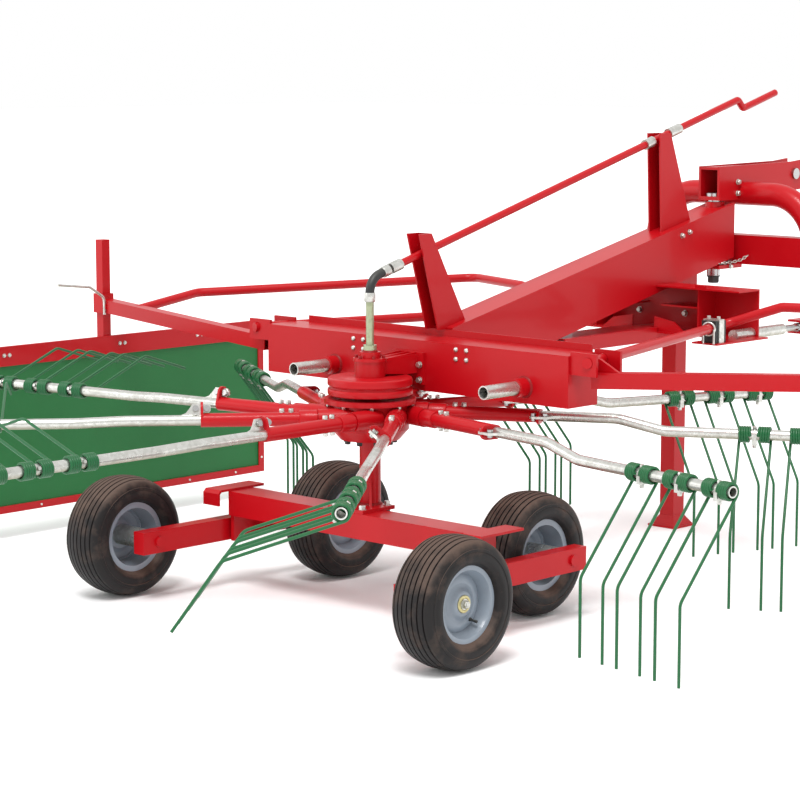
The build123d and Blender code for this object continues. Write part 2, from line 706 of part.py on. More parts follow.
def crank_posts():
    """Rear and front supports of the crank rod."""
    cross_space = block(
        (-CROSS_HALF, CROSS_REAR, CROSS_BOTTOM),
        (CROSS_HALF, CROSS_REAR + CROSS_DEPTH, CROSS_BOTTOM + CROSS_HEIGHT + CROSS_LIP),
    )
    space = beam_space() + cross_space
    rear = post(300, 452, 880, 203, 262, 1222, space)
    front = post(1497, 1690, 1140, 1480, 1545, 1522, space)
    return [rear, front]


def crank():
    """Long rod with a cranked grip, and the bushes it turns in at the front post."""
    jog = crank_height(CRANK_JOG_Y)
    grip_y = CRANK_JOG_Y + 34
    points = [
        (0, CRANK_FOOT[0] + 44, crank_height(CRANK_FOOT[0] + 44)),
        (0, CRANK_JOG_Y, jog),
        (0, grip_y, crank_height(grip_y) - CRANK_JOG),
        (0, CRANK_GRIP_END, crank_height(CRANK_GRIP_END) - CRANK_JOG),
    ]
    return bent_bar(points, 15.0, CRANK_RADIUS)


def crank_bushes():
    """Zinc bushes either side of the front post and at the rod's lower end."""
    bushes = []
    for start, end in ((1430, 1474), (1566, 1632), (CRANK_FOOT[0] - 6, CRANK_FOOT[0] + 42)):
        low, high = (0, start, crank_height(start)), (0, end, crank_height(end))
        whole = rod(low, high, CRANK_RADIUS + 6)
        if start > 500:
            whole -= rod(low, high, CRANK_RADIUS + 0.2)
        bushes.append(whole)
    return bushes


def crank_elbow():
    """Flexible joint between the rod and the upright spindle."""
    end_y = CRANK_FOOT[0] - 14
    points = [(0, 0, SPINDLE_TOP), (0, 0, crank_height(0)), (0, end_y, crank_height(end_y))]
    return bent_bar(points, 60.0, 15.0)


def spindle_tube():
    """Upright tube that carries the height screw into the gearbox."""
    tube = rod((0, 0, COVER_TOP), (0, 0, SPINDLE_TOP), SPINDLE_RADIUS)
    return tube + rod((0, 0, COVER_TOP), (0, 0, COVER_TOP + 22), SPINDLE_RADIUS + 9)


def arm_holders():
    """Tube stubs on the cross beam that hold spare or folded arms."""
    holders = []
    for x in (330.0 - CROSS_HALF, CROSS_HALF - 180.0):
        tube = pipe((x, CROSS_REAR - 195, 762), (x, CROSS_REAR - 46, 762), 22, 18)
        boss = pipe((x, CROSS_REAR - 46, 762), (x, CROSS_REAR, 762), 30, 18)
        holders.append((tube, boss))
    return holders


def strut_space(side):
    """Outside of a strut's barrel."""
    return rod((side * STRUT_X, STRUT_REAR, STRUT_Z), (side * STRUT_X, STRUT_FRONT, STRUT_Z), STRUT_RADIUS)


def strut_barrel(side):
    """Barrel fixed in the bracket, open at its front."""
    x = side * STRUT_X
    bore = rod((x, STRUT_REAR + 12, STRUT_Z), (x, STRUT_FRONT, STRUT_Z), ROD_RADIUS + SLIDING_GAP)
    return strut_space(side) - bore


def strut_rod(side):
    """Sliding rod with the eye at the headstock."""
    x = side * STRUT_X
    rod_body = rod((x, ROD_REAR, STRUT_Z), (x, KINGPIN_Y - EYE_INNER - 3, STRUT_Z), ROD_RADIUS)
    eye = Pos(x, KINGPIN_Y, STRUT_Z) * (Cylinder(EYE_OUTER, 22) - Cylinder(EYE_INNER, 22))
    return rod_body - Pos(x, KINGPIN_Y, STRUT_Z) * Cylinder(EYE_INNER, 40) + eye


def arch_points():
    """Corners of the headstock's arch."""
    return [
        (-ARCH_HALF, ARCH_Y, ARCH_FOOT),
        (-ARCH_HALF, ARCH_Y, ARCH_TOP),
        (ARCH_HALF, ARCH_Y, ARCH_TOP),
        (ARCH_HALF, ARCH_Y, ARCH_FOOT),
    ]


def headstock_arch():
    """Bent tube with the lower hitch plates and the strut forks at its feet."""
    arch = bent_bar(arch_points(), ARCH_BEND, ARCH_RADIUS)
    for side in (-1, 1):
        plate_x_mid = side * (LOWER_PIN_SHOULDER - SHOULDER_COLLAR - HITCH_PLATE / 2)
        outline = [
            (ARCH_Y - 30, 700),
            (LOWER_PIN_Y + 20, 700),
            (LOWER_PIN_Y + 45, 725),
            (LOWER_PIN_Y + 45, 770),
            (LOWER_PIN_Y + 20, 795),
            (ARCH_Y - 30, 850),
        ]
        hitch = plate_x(outline, plate_x_mid, HITCH_PLATE)
        hole = [(plate_x_mid + step, LOWER_PIN_Y, LOWER_PIN_Z) for step in (-20, 20)]
        hitch -= rod(hole[0], hole[1], LOWER_PIN_RADIUS + 2)
        arch += hitch
        for low in (STRUT_Z - 11 - FREE_GAP - 8, STRUT_Z + 11 + FREE_GAP):
            ends = sorted((side * (STRUT_X - 42), side * (STRUT_X + 24)))
            fork = block((ends[0], KINGPIN_Y - 24, low), (ends[1], ARCH_Y - 20, low + 8))
            arch += fork
        eye_pin = rod(
            (side * STRUT_X, KINGPIN_Y, STRUT_Z - 11 - FREE_GAP - 8),
            (side * STRUT_X, KINGPIN_Y, STRUT_Z + 11 + FREE_GAP + 8),
            EYE_PIN_RADIUS,
        )
        arch += eye_pin
    return arch


def arch_space():
    """Outside of the arch, which other pieces are cut to fit."""
    return bent_bar(arch_points(), ARCH_BEND, ARCH_RADIUS)


def headstock_tie():
    """Cross box between the legs with the lower kingpin plate and the stand's sleeve."""
    tie_front = TIE_REAR + TIE_DEPTH
    low = (-ARCH_HALF, TIE_REAR, TIE_BOTTOM)
    tie = block(low, (ARCH_HALF, tie_front, TIE_BOTTOM + TIE_HEIGHT))
    tie -= block((-ARCH_HALF, TIE_REAR + PLATE, TIE_BOTTOM + PLATE), (ARCH_HALF, tie_front - PLATE, TIE_BOTTOM + TIE_HEIGHT - PLATE))
    lower_plate_top = BEARING_BOTTOM - FREE_GAP
    tie += block((-62, KINGPIN_Y - 50, lower_plate_top - 14), (62, TIE_REAR + PLATE, lower_plate_top))
    half = STAND_SIZE / 2 + SLIDING_GAP
    wall = half + PLATE
    tie += block((STAND_X - wall, STAND_Y - wall, SLEEVE_BOTTOM), (STAND_X + wall, STAND_Y + wall, SLEEVE_TOP))
    tie += block((STAND_X - 30, STAND_Y + wall, TIE_BOTTOM), (STAND_X + 30, TIE_REAR, SLEEVE_TOP))
    tie += block((STAND_X - 8, STAND_Y + wall, 880), (STAND_X + 8, TIE_REAR + 20, TIE_BOTTOM))
    tie -= block((STAND_X - half, STAND_Y - half, SLEEVE_BOTTOM - 1), (STAND_X + half, STAND_Y + half, SLEEVE_TOP + 1))
    tie -= rod((0, KINGPIN_Y, 960), (0, KINGPIN_Y, BEARING_BOTTOM), KINGPIN_RADIUS)
    return tie - arch_space()


def top_box():
    """Top link bracket: two rising side plates on a floor over the beam's end."""
    half = TOP_BOX_WIDTH / 2
    box = None
    outline = [
        (TOP_BOX_REAR, TOP_BOX_BOTTOM),
        (TOP_BOX_FRONT - 20, TOP_BOX_BOTTOM + 24),
        (TOP_BOX_FRONT, TOP_BOX_BOTTOM + 50),
        (TOP_BOX_FRONT, TOP_BOX_TOP + 14),
        (TOP_BOX_FRONT - 90, TOP_BOX_TOP + 6),
        (TOP_BOX_REAR, TOP_BOX_TOP),
    ]
    for side in (-1, 1):
        cheek = plate_x(outline, side * (half - 5), 10)
        box = cheek if box is None else box + cheek
    floor_front = ARCH_Y + 60
    box += block((-half, TOP_BOX_REAR, TOP_BOX_BOTTOM), (half, floor_front, TOP_BOX_BOTTOM + 14))
    box += block((-half, TOP_BOX_REAR, TOP_BOX_TOP - 12), (half, ARCH_Y + 60, TOP_BOX_TOP - 2))
    box -= rod((-80, TOP_PIN_Y, TOP_PIN_Z), (80, TOP_PIN_Y, TOP_PIN_Z), TOP_PIN_RADIUS)
    box -= rod((0, KINGPIN_Y, TOP_BOX_BOTTOM), (0, KINGPIN_Y, TOP_BOX_BOTTOM + 14), KINGPIN_RADIUS)
    return box - arch_space()


def kingpin():
    """Headed pin that the headstock swivels on."""
    pin = rod((0, KINGPIN_Y, 980), (0, KINGPIN_Y, TOP_BOX_BOTTOM + 14), KINGPIN_RADIUS)
    pin += rod((0, KINGPIN_Y, TOP_BOX_BOTTOM + 14), (0, KINGPIN_Y, TOP_BOX_BOTTOM + 26), KINGPIN_RADIUS + 9)
    return pin


def hitch_pins():
    """Two lower link pins and the top link pin."""
    pins = []
    for side in (-1, 1):
        shoulder = side * LOWER_PIN_SHOULDER
        plate_face = shoulder - side * SHOULDER_COLLAR
        inner = plate_face - side * HITCH_PLATE
        pin = None
        for start, end, radius in (
            (inner - side * 14, inner, LOWER_PIN_RADIUS + 8),
            (inner, plate_face, LOWER_PIN_RADIUS + 2),
            (plate_face, shoulder, LOWER_PIN_RADIUS + 8),
            (shoulder, shoulder + side * LOWER_PIN_LENGTH, LOWER_PIN_RADIUS),
        ):
            step = rod((start, LOWER_PIN_Y, LOWER_PIN_Z), (end, LOWER_PIN_Y, LOWER_PIN_Z), radius)
            pin = step if pin is None else pin + step
        pins.append(pin)
    half = TOP_BOX_WIDTH / 2
    top = rod((-half - 26, TOP_PIN_Y, TOP_PIN_Z), (half, TOP_PIN_Y, TOP_PIN_Z), TOP_PIN_RADIUS)
    top += rod((half, TOP_PIN_Y, TOP_PIN_Z), (half + 9, TOP_PIN_Y, TOP_PIN_Z), 21.0)
    pins.append(top)
    return pins


def stand():
    """Square leg with a flared foot."""
    half = STAND_SIZE / 2
    leg = block((STAND_X - half, STAND_Y - half, 8), (STAND_X + half, STAND_Y + half, STAND_TOP))
    leg -= block((STAND_X - half + 5, STAND_Y - half + 5, 20), (STAND_X + half - 5, STAND_Y + half - 5, STAND_TOP))
    foot = Pos(STAND_X, STAND_Y, 0) * loft([Rectangle(FOOT_WIDTH, FOOT_WIDTH), Pos(0, 0, 8) * Rectangle(FOOT_WIDTH, FOOT_WIDTH)])
    flare = Pos(STAND_X, STAND_Y, 8) * loft([Rectangle(FOOT_WIDTH - 16, FOOT_WIDTH - 16), Pos(0, 0, 36) * Rectangle(STAND_SIZE, STAND_SIZE)])
    return leg + foot + flare


def guard_bar(side):
    """Square bar hung under the fold line by a gusset, out to its clamp or end cap."""
    end = GUARD_END if side < 0 else RIGHT_GUARD_END
    whole = bar(GUARD_START, end, GUARD_BAR, GUARD_BAR, 4.0)
    x, y, z = FOLD_REAR
    gusset = [(x - 16, z - 37), (x + 110, z - 32), (x + 24, z + 10), (x - 16, z + 10)]
    whole += plate_y(gusset, y - 5, 10)
    whole -= fold_core()
    if side < 0:
        half = CURTAIN_POST / 2 + SLIDING_GAP
        x, y = post_place()
        collar = block((-x - half - 8, y - half - 8, COLLAR_BOTTOM), (-x + half + 8, y + half + 8, COLLAR_BOTTOM + 74))
        hole = block((-x - half, y - half, 700), (-x + half, y + half, 1000))
        whole = whole - hole + (collar - hole)
        near_x, near_y = lever_place()
        saddle = block((-near_x - 8, near_y + 1, 836), (-near_x + 8, near_y + 12, 854))
        whole += saddle - rod((-near_x, near_y, 800), (-near_x, near_y, 900), 5.0)
    return whole if side > 0 else mirrored(whole)


def fold_core():
    """Outside of the tube along the fold line."""
    start, end = Vector(*FOLD_REAR), Vector(*FOLD_FRONT)
    run = (end - start).normalized()
    return rod(tuple(start - run * 66), tuple(end), GUARD_RADIUS)


def guard_loop(side):
    """Bent tube: along the fold line, across the front and back to the bar's end."""
    start, end = Vector(*FOLD_REAR), Vector(*FOLD_FRONT)
    run = (end - start).normalized()
    points = [tuple(start - run * 62), tuple(end + run * FOLD_OVERRUN)] + list(GUARD_CORNERS)
    tube = bent_bar(points, GUARD_BEND, GUARD_RADIUS)
    bar_space = bar(GUARD_START, GUARD_END if side < 0 else RIGHT_GUARD_END, GUARD_BAR, GUARD_BAR)
    far_half = block((900, 0, 500), (2500, 2500, 1500))
    tube -= bar_space & far_half
    return tube if side > 0 else mirrored(tube)


def post_place():
    """Plan place of the curtain's post, outside its rail."""
    return (CURTAIN_X - CLOTH / 2 - RAIL_SHEET - CURTAIN_POST / 2, 396.0)


def rest_blocks():
    """Rubber blocks on the bracket that the guards' tubes turn in."""
    blocks = []
    x, y, z = FOLD_FRONT
    for side in (-1, 1):
        rubber = block((x - 30, y - 30, BRACKET_BOTTOM + PLATE), (x + 30, y + 30, z + 26))
        rubber -= fold_axis(1)
        blocks.append(rubber if side > 0 else mirrored(rubber))
    return blocks


def rest_straps():
    """Zinc straps over the rubber blocks, bent down at both sides."""
    straps = []
    x, y, z = FOLD_FRONT
    for side in (-1, 1):
        outer = block((x - 35, y - 14, BRACKET_BOTTOM + PLATE), (x + 35, y + 14, z + 31))
        strap = outer - block((x - 30, y - 30, 700), (x + 30, y + 30, z + 26))
        straps.append(strap if side > 0 else mirrored(strap))
    return straps


def curtain_frame():
    """Top rail on both faces of the cloth, with strips down its ends and along its foot."""
    inner = CURTAIN_X + CLOTH / 2
    outer = CURTAIN_X - CLOTH / 2
    top, low = CURTAIN_TOP, CURTAIN_BOTTOM
    rear, front = CURTAIN_REAR, CURTAIN_FRONT
    outline = block((inner, rear, low), (inner + RAIL_SHEET, front, top))
    window = block((inner, rear + STRIP_WIDTH, low + STRIP_WIDTH), (inner + RAIL_SHEET, front - STRIP_WIDTH, top - RAIL_HEIGHT))
    face = outline - window
    back = block((outer - RAIL_SHEET, rear, top - RAIL_HEIGHT), (outer, front, top))
    cap = block((outer, rear, top), (inner, front, top + 4))
    return face + back + cap + block((inner, rear, top), (inner + RAIL_SHEET, front, top + 4)) + block((outer - RAIL_SHEET, rear, top), (outer, front, top + 4))


def curtain_cloth():
    """Plain sheet between the rails."""
    return block(
        (CURTAIN_X - CLOTH / 2 + SOFT_GAP, CURTAIN_REAR + 2, CURTAIN_BOTTOM + 2),
        (CURTAIN_X + CLOTH / 2 - SOFT_GAP, CURTAIN_FRONT - 2, CURTAIN_TOP - SOFT_GAP),
    )


def curtain_post():
    """Square post that the curtain's rail is bolted to."""
    x, y = post_place()
    half = CURTAIN_POST / 2
    return block((x - half, y - half, CURTAIN_TOP - RAIL_HEIGHT), (x + half, y + half, CURTAIN_POST_TOP))


def curtain_lever():
    """Bent zinc lever that locks the post in its collar."""
    x, y = lever_place()
    points = [(x, y, 815), (x, y, 880), (x, y - 69, 925), (x, y - 224, 943)]
    return bent_bar(points, 30.0, 5.0)


def lever_place():
    """Plan place of the lever's upright end, clear of the curtain's rail."""
    x, y = post_place()
    return x + 44.0, y - 33.0


def compound(shapes):
    """Several solids of one node."""
    solids = []
    for shape in shapes:
        solids.extend(shape.solids())
    return Compound(children=solids)


def build_nodes():
    """Every node's shape, laid out around the rotor's axis."""
    nodes = {}
    for name, centre, outward in wheel_places():
        nodes[f"tyre_{name}"] = tyre(centre, outward)
        nodes[f"rim_{name}"] = rim(centre, outward)
        nodes[f"wheel_hub_{name}"] = wheel_hub(centre, outward)
    nodes["rocker_left"] = rocker(-1)
    nodes["rocker_right"] = rocker(1)
    nodes["axle_beam"] = axle_beam()
    nodes["mast"] = mast()

    nodes["rotor_hub"] = rotor_hub()
    shafts, tubes, pins, clamps, tines = [], [], [], [], []
    for index, (name, roll) in enumerate(ARM_ROLLS):
        place = arm_place(index, roll)
        shafts.append(place * arm_shaft())
        tubes.append(place * arm_tube())
        pins.extend(place * pin for pin in arm_pins())
        for start in pair_starts():
            clamps.append(place * clamp(start))
            tines.append(place * double_tine(start))
    nodes["arm_shafts"] = compound(shafts)
    nodes["arm_tubes"] = compound(tubes)
    nodes["arm_pins"] = compound(pins)
    nodes["tine_clamps"] = compound(clamps)
    nodes["tines"] = compound(tines)

    nodes["rotor_cap"] = rotor_cap()
    nodes["gearbox"] = gearbox()
    nodes["cross_beam"] = cross_beam()
    nodes["main_beam"] = main_beam()
    nodes["front_bracket"] = front_bracket()
    nodes["drive_tunnel"] = drive_tunnel()
    nodes["input_shaft"] = input_shaft()
    nodes["crank_posts"] = compound(crank_posts())
    nodes["crank"] = crank()
    nodes["crank_bushes"] = compound(crank_bushes())
    nodes["crank_elbow"] = crank_elbow()
    nodes["spindle_tube"] = spindle_tube()
    holders = arm_holders()
    nodes["arm_holders"] = compound([tube for tube, boss in holders])
    nodes["holder_bosses"] = compound([boss for tube, boss in holders])
    nodes["strut_barrels"] = compound([strut_barrel(-1), strut_barrel(1)])
    nodes["strut_rod_left"] = strut_rod(-1)
    nodes["strut_rod_right"] = strut_rod(1)
    nodes["rest_blocks"] = compound(rest_blocks())
    nodes["rest_straps"] = compound(rest_straps())

    nodes["headstock_arch"] = headstock_arch()
    nodes["headstock_tie"] = headstock_tie()
    nodes["top_box"] = top_box()
    nodes["kingpin"] = kingpin()
    nodes["hitch_pins"] = compound(hitch_pins())
    nodes["stand"] = stand()

    nodes["guard_bar_left"] = guard_bar(-1)
    nodes["guard_bar_right"] = guard_bar(1)
    nodes["guard_loop_left"] = guard_loop(-1)
    nodes["guard_loop_right"] = guard_loop(1)
    nodes["curtain_frame"] = curtain_frame()
    nodes["curtain_cloth"] = curtain_cloth()
    nodes["curtain_post"] = curtain_post()
    nodes["curtain_lever"] = curtain_lever()
    return nodes


for node_name, shape in build_nodes().items():
    export_step(Pos(PLAN_SHIFT[0], PLAN_SHIFT[1], 0) * shape, f"parts/{node_name}.step")
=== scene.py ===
"""Looks of a towed single rotor hay rake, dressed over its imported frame."""

import logging
from dataclasses import dataclass, field
from enum import Enum
from math import cos, pi, radians, sin, tan

import bmesh
import bpy
from mathutils import Matrix, Vector, noise


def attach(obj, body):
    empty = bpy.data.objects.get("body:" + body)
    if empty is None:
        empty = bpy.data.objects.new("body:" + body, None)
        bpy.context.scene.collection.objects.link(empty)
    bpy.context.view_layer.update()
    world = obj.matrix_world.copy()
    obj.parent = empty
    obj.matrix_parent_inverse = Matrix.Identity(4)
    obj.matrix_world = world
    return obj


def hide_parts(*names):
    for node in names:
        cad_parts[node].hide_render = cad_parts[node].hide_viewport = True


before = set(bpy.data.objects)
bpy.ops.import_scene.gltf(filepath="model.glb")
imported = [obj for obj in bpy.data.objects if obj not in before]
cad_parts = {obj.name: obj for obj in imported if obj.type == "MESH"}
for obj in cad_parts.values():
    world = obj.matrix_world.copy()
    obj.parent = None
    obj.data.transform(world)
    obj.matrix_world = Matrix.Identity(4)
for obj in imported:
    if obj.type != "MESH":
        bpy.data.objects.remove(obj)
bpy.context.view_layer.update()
LOG = logging.getLogger("rake")

SHIFT = Vector((0.08217, -0.38136, 0.0))
X, Y, Z = Vector((1, 0, 0)), Vector((0, 1, 0)), Vector((0, 0, 1))
ARMS = 9
Colour = tuple[float, float, float] | bpy.types.NodeSocket
Profile = list[tuple[float, float]]


def at(x: float, y: float, z: float) -> Vector:
    """Point laid out from the rotor's axis, in the part's own frame."""
    return Vector((x, y, z)) + SHIFT


def cut_flat(value: float, low: float, high: float) -> float:
    """Value kept between two limits."""
    return max(low, min(high, value))


class Paint(Enum):
    """Paint colours, as linear red, green and blue."""

    RED = (0.42, 0.0020, 0.0060)
    DEEP_RED = (0.24, 0.003, 0.005)
    TINE_GREEN = (0.010, 0.105, 0.034)
    RIM_GREY = (0.22, 0.26, 0.31)


class Effects:
    """Node groups that several materials share."""

    made: dict[str, bpy.types.NodeTree] = {}

    @classmethod
    def _group(cls, name: str, inputs: dict[str, float],
               outputs: list[str]) -> tuple[bpy.types.NodeTree, bpy.types.Node, bpy.types.Node]:
        """Start a group with float inputs and float outputs.

        Args:
            name: the group's name.
            inputs: default value of each input.
            outputs: names of the mask outputs.

        Returns:
            The tree, its input node and its output node.
        """
        tree = bpy.data.node_groups.new(name, "ShaderNodeTree")
        for key, value in inputs.items():
            socket = tree.interface.new_socket(key, in_out="INPUT", socket_type="NodeSocketFloat")
            socket.default_value = value
        for key in outputs:
            tree.interface.new_socket(key, in_out="OUTPUT", socket_type="NodeSocketFloat")
        cls.made[name] = tree
        return tree, tree.nodes.new("NodeGroupInput"), tree.nodes.new("NodeGroupOutput")

    @classmethod
    def dust(cls) -> bpy.types.NodeTree:
        """Mask of dust that lies on upward faces and in a cloudy pattern.

        Returns:
            The group, made once.
        """
        if "dust" in cls.made:
            return cls.made["dust"]
        tree, inp, out = cls._group("dust", {"Scale": 6.0, "Reach": 0.35, "Strength": 0.6}, ["Mask"])
        nodes, links = tree.nodes, tree.links
        place = nodes.new("ShaderNodeTexCoord")
        cloud = nodes.new("ShaderNodeTexNoise")
        cloud.inputs["Detail"].default_value = 6.0
        cloud.inputs["Roughness"].default_value = 0.62
        links.new(place.outputs["Object"], cloud.inputs["Vector"])
        links.new(inp.outputs["Scale"], cloud.inputs["Scale"])
        split = nodes.new("ShaderNodeSeparateXYZ")
        geometry = nodes.new("ShaderNodeNewGeometry")
        links.new(geometry.outputs["Normal"], split.inputs["Vector"])
        up = nodes.new("ShaderNodeMapRange")
        up.inputs["From Min"].default_value = 0.1
        up.inputs["From Max"].default_value = 1.0
        links.new(split.outputs["Z"], up.inputs["Value"])
        both = nodes.new("ShaderNodeMath")
        both.operation = "MULTIPLY_ADD"
        links.new(up.outputs["Result"], both.inputs[0])
        links.new(inp.outputs["Reach"], both.inputs[1])
        links.new(cloud.outputs["Fac"], both.inputs[2])
        sharp = nodes.new("ShaderNodeMapRange")
        sharp.inputs["From Min"].default_value = 0.52
        sharp.inputs["From Max"].default_value = 0.95
        links.new(both.outputs["Value"], sharp.inputs["Value"])
        gain = nodes.new("ShaderNodeMath")
        gain.operation = "MULTIPLY"
        links.new(sharp.outputs["Result"], gain.inputs[0])
        links.new(inp.outputs["Strength"], gain.inputs[1])
        links.new(gain.outputs["Value"], out.inputs["Mask"])
        return tree

    @classmethod
    def speckle(cls) -> bpy.types.NodeTree:
        """Fine grain: a height for a bump and a mask of small chips.

        Returns:
            The group, made once.
        """
        if "speckle" in cls.made:
            return cls.made["speckle"]
        tree, inp, out = cls._group("speckle", {"Scale": 300.0, "Chips": 0.72}, ["Height", "Chip"])
        nodes, links = tree.nodes, tree.links
        place = nodes.new("ShaderNodeTexCoord")
        fine = nodes.new("ShaderNodeTexNoise")
        fine.inputs["Detail"].default_value = 3.0
        links.new(place.outputs["Object"], fine.inputs["Vector"])
        links.new(inp.outputs["Scale"], fine.inputs["Scale"])
        links.new(fine.outputs["Fac"], out.inputs["Height"])
        wide = nodes.new("ShaderNodeTexNoise")
        wide.inputs["Scale"].default_value = 42.0
        wide.inputs["Detail"].default_value = 8.0
        wide.inputs["Roughness"].default_value = 0.7
        links.new(place.outputs["Object"], wide.inputs["Vector"])
        step = nodes.new("ShaderNodeMapRange")
        step.inputs["From Max"].default_value = 0.86
        links.new(wide.outputs["Fac"], step.inputs["Value"])
        links.new(inp.outputs["Chips"], step.inputs["From Min"])
        links.new(step.outputs["Result"], out.inputs["Chip"])
        return tree

    @classmethod
    def spangle(cls) -> bpy.types.NodeTree:
        """Crystal pattern of hot dip zinc, with long faint streaks.

        Returns:
            The group, made once.
        """
        if "spangle" in cls.made:
            return cls.made["spangle"]
        tree, inp, out = cls._group("spangle", {"Scale": 60.0, "Streaks": 0.3}, ["Shade", "Height"])
        nodes, links = tree.nodes, tree.links
        place = nodes.new("ShaderNodeTexCoord")
        cells = nodes.new("ShaderNodeTexVoronoi")
        links.new(place.outputs["Object"], cells.inputs["Vector"])
        links.new(inp.outputs["Scale"], cells.inputs["Scale"])
        grey = nodes.new("ShaderNodeSeparateXYZ")
        links.new(cells.outputs["Color"], grey.inputs["Vector"])
        cloud = nodes.new("ShaderNodeTexNoise")
        cloud.inputs["Scale"].default_value = 9.0
        cloud.inputs["Detail"].default_value = 7.0
        links.new(place.outputs["Object"], cloud.inputs["Vector"])
        mix = nodes.new("ShaderNodeMath")
        mix.operation = "MULTIPLY_ADD"
        links.new(cloud.outputs["Fac"], mix.inputs[0])
        links.new(inp.outputs["Streaks"], mix.inputs[1])
        half = nodes.new("ShaderNodeMath")
        half.operation = "MULTIPLY"
        half.inputs[1].default_value = 0.45
        links.new(grey.outputs["X"], half.inputs[0])
        links.new(half.outputs["Value"], mix.inputs[2])
        links.new(mix.outputs["Value"], out.inputs["Shade"])
        links.new(grey.outputs["Y"], out.inputs["Height"])
        return tree

    @classmethod
    def underside_shade_reflection(cls) -> bpy.types.NodeTree:
        """Mask of downward faces, where an olive colour is painted as painted shade and a painted reflection
        of grass.

        Returns:
            The group, made once.
        """
        if "underside_shade_reflection" in cls.made:
            return cls.made["underside_shade_reflection"]
        tree, inp, out = cls._group("underside_shade_reflection", {"Edge": -0.15, "Strength": 0.75}, ["Mask"])
        nodes, links = tree.nodes, tree.links
        split = nodes.new("ShaderNodeSeparateXYZ")
        geometry = nodes.new("ShaderNodeNewGeometry")
        links.new(geometry.outputs["Normal"], split.inputs["Vector"])
        # Downward faces get the olive painted shade and painted reflection of grass.
        down = nodes.new("ShaderNodeMapRange")
        down.inputs["From Max"].default_value = -0.85
        links.new(inp.outputs["Edge"], down.inputs["From Min"])
        links.new(inp.outputs["Strength"], down.inputs["To Max"])
        links.new(split.outputs["Z"], down.inputs["Value"])
        links.new(down.outputs["Result"], out.inputs["Mask"])
        return tree

    @classmethod
    def weave(cls) -> bpy.types.NodeTree:
        """Plain weave: a height and a shade from two crossed sets of threads.

        Returns:
            The group, made once.
        """
        if "weave" in cls.made:
            return cls.made["weave"]
        tree, inp, out = cls._group("weave", {"Pitch": 420.0}, ["Height", "Shade"])
        nodes, links = tree.nodes, tree.links
        place = nodes.new("ShaderNodeTexCoord")
        waves = []
        for direction in ("Y", "Z"):
            wave = nodes.new("ShaderNodeTexWave")
            wave.bands_direction = direction
            wave.inputs["Distortion"].default_value = 0.6
            links.new(place.outputs["Object"], wave.inputs["Vector"])
            links.new(inp.outputs["Pitch"], wave.inputs["Scale"])
            waves.append(wave)
        high = nodes.new("ShaderNodeMath")
        high.operation = "MAXIMUM"
        links.new(waves[0].outputs["Fac"], high.inputs[0])
        links.new(waves[1].outputs["Fac"], high.inputs[1])
        cloud = nodes.new("ShaderNodeTexNoise")
        cloud.inputs["Scale"].default_value = 3.5
        cloud.inputs["Detail"].default_value = 5.0
        links.new(place.outputs["Object"], cloud.inputs["Vector"])
        links.new(high.outputs["Value"], out.inputs["Height"])
        links.new(cloud.outputs["Fac"], out.inputs["Shade"])
        return tree


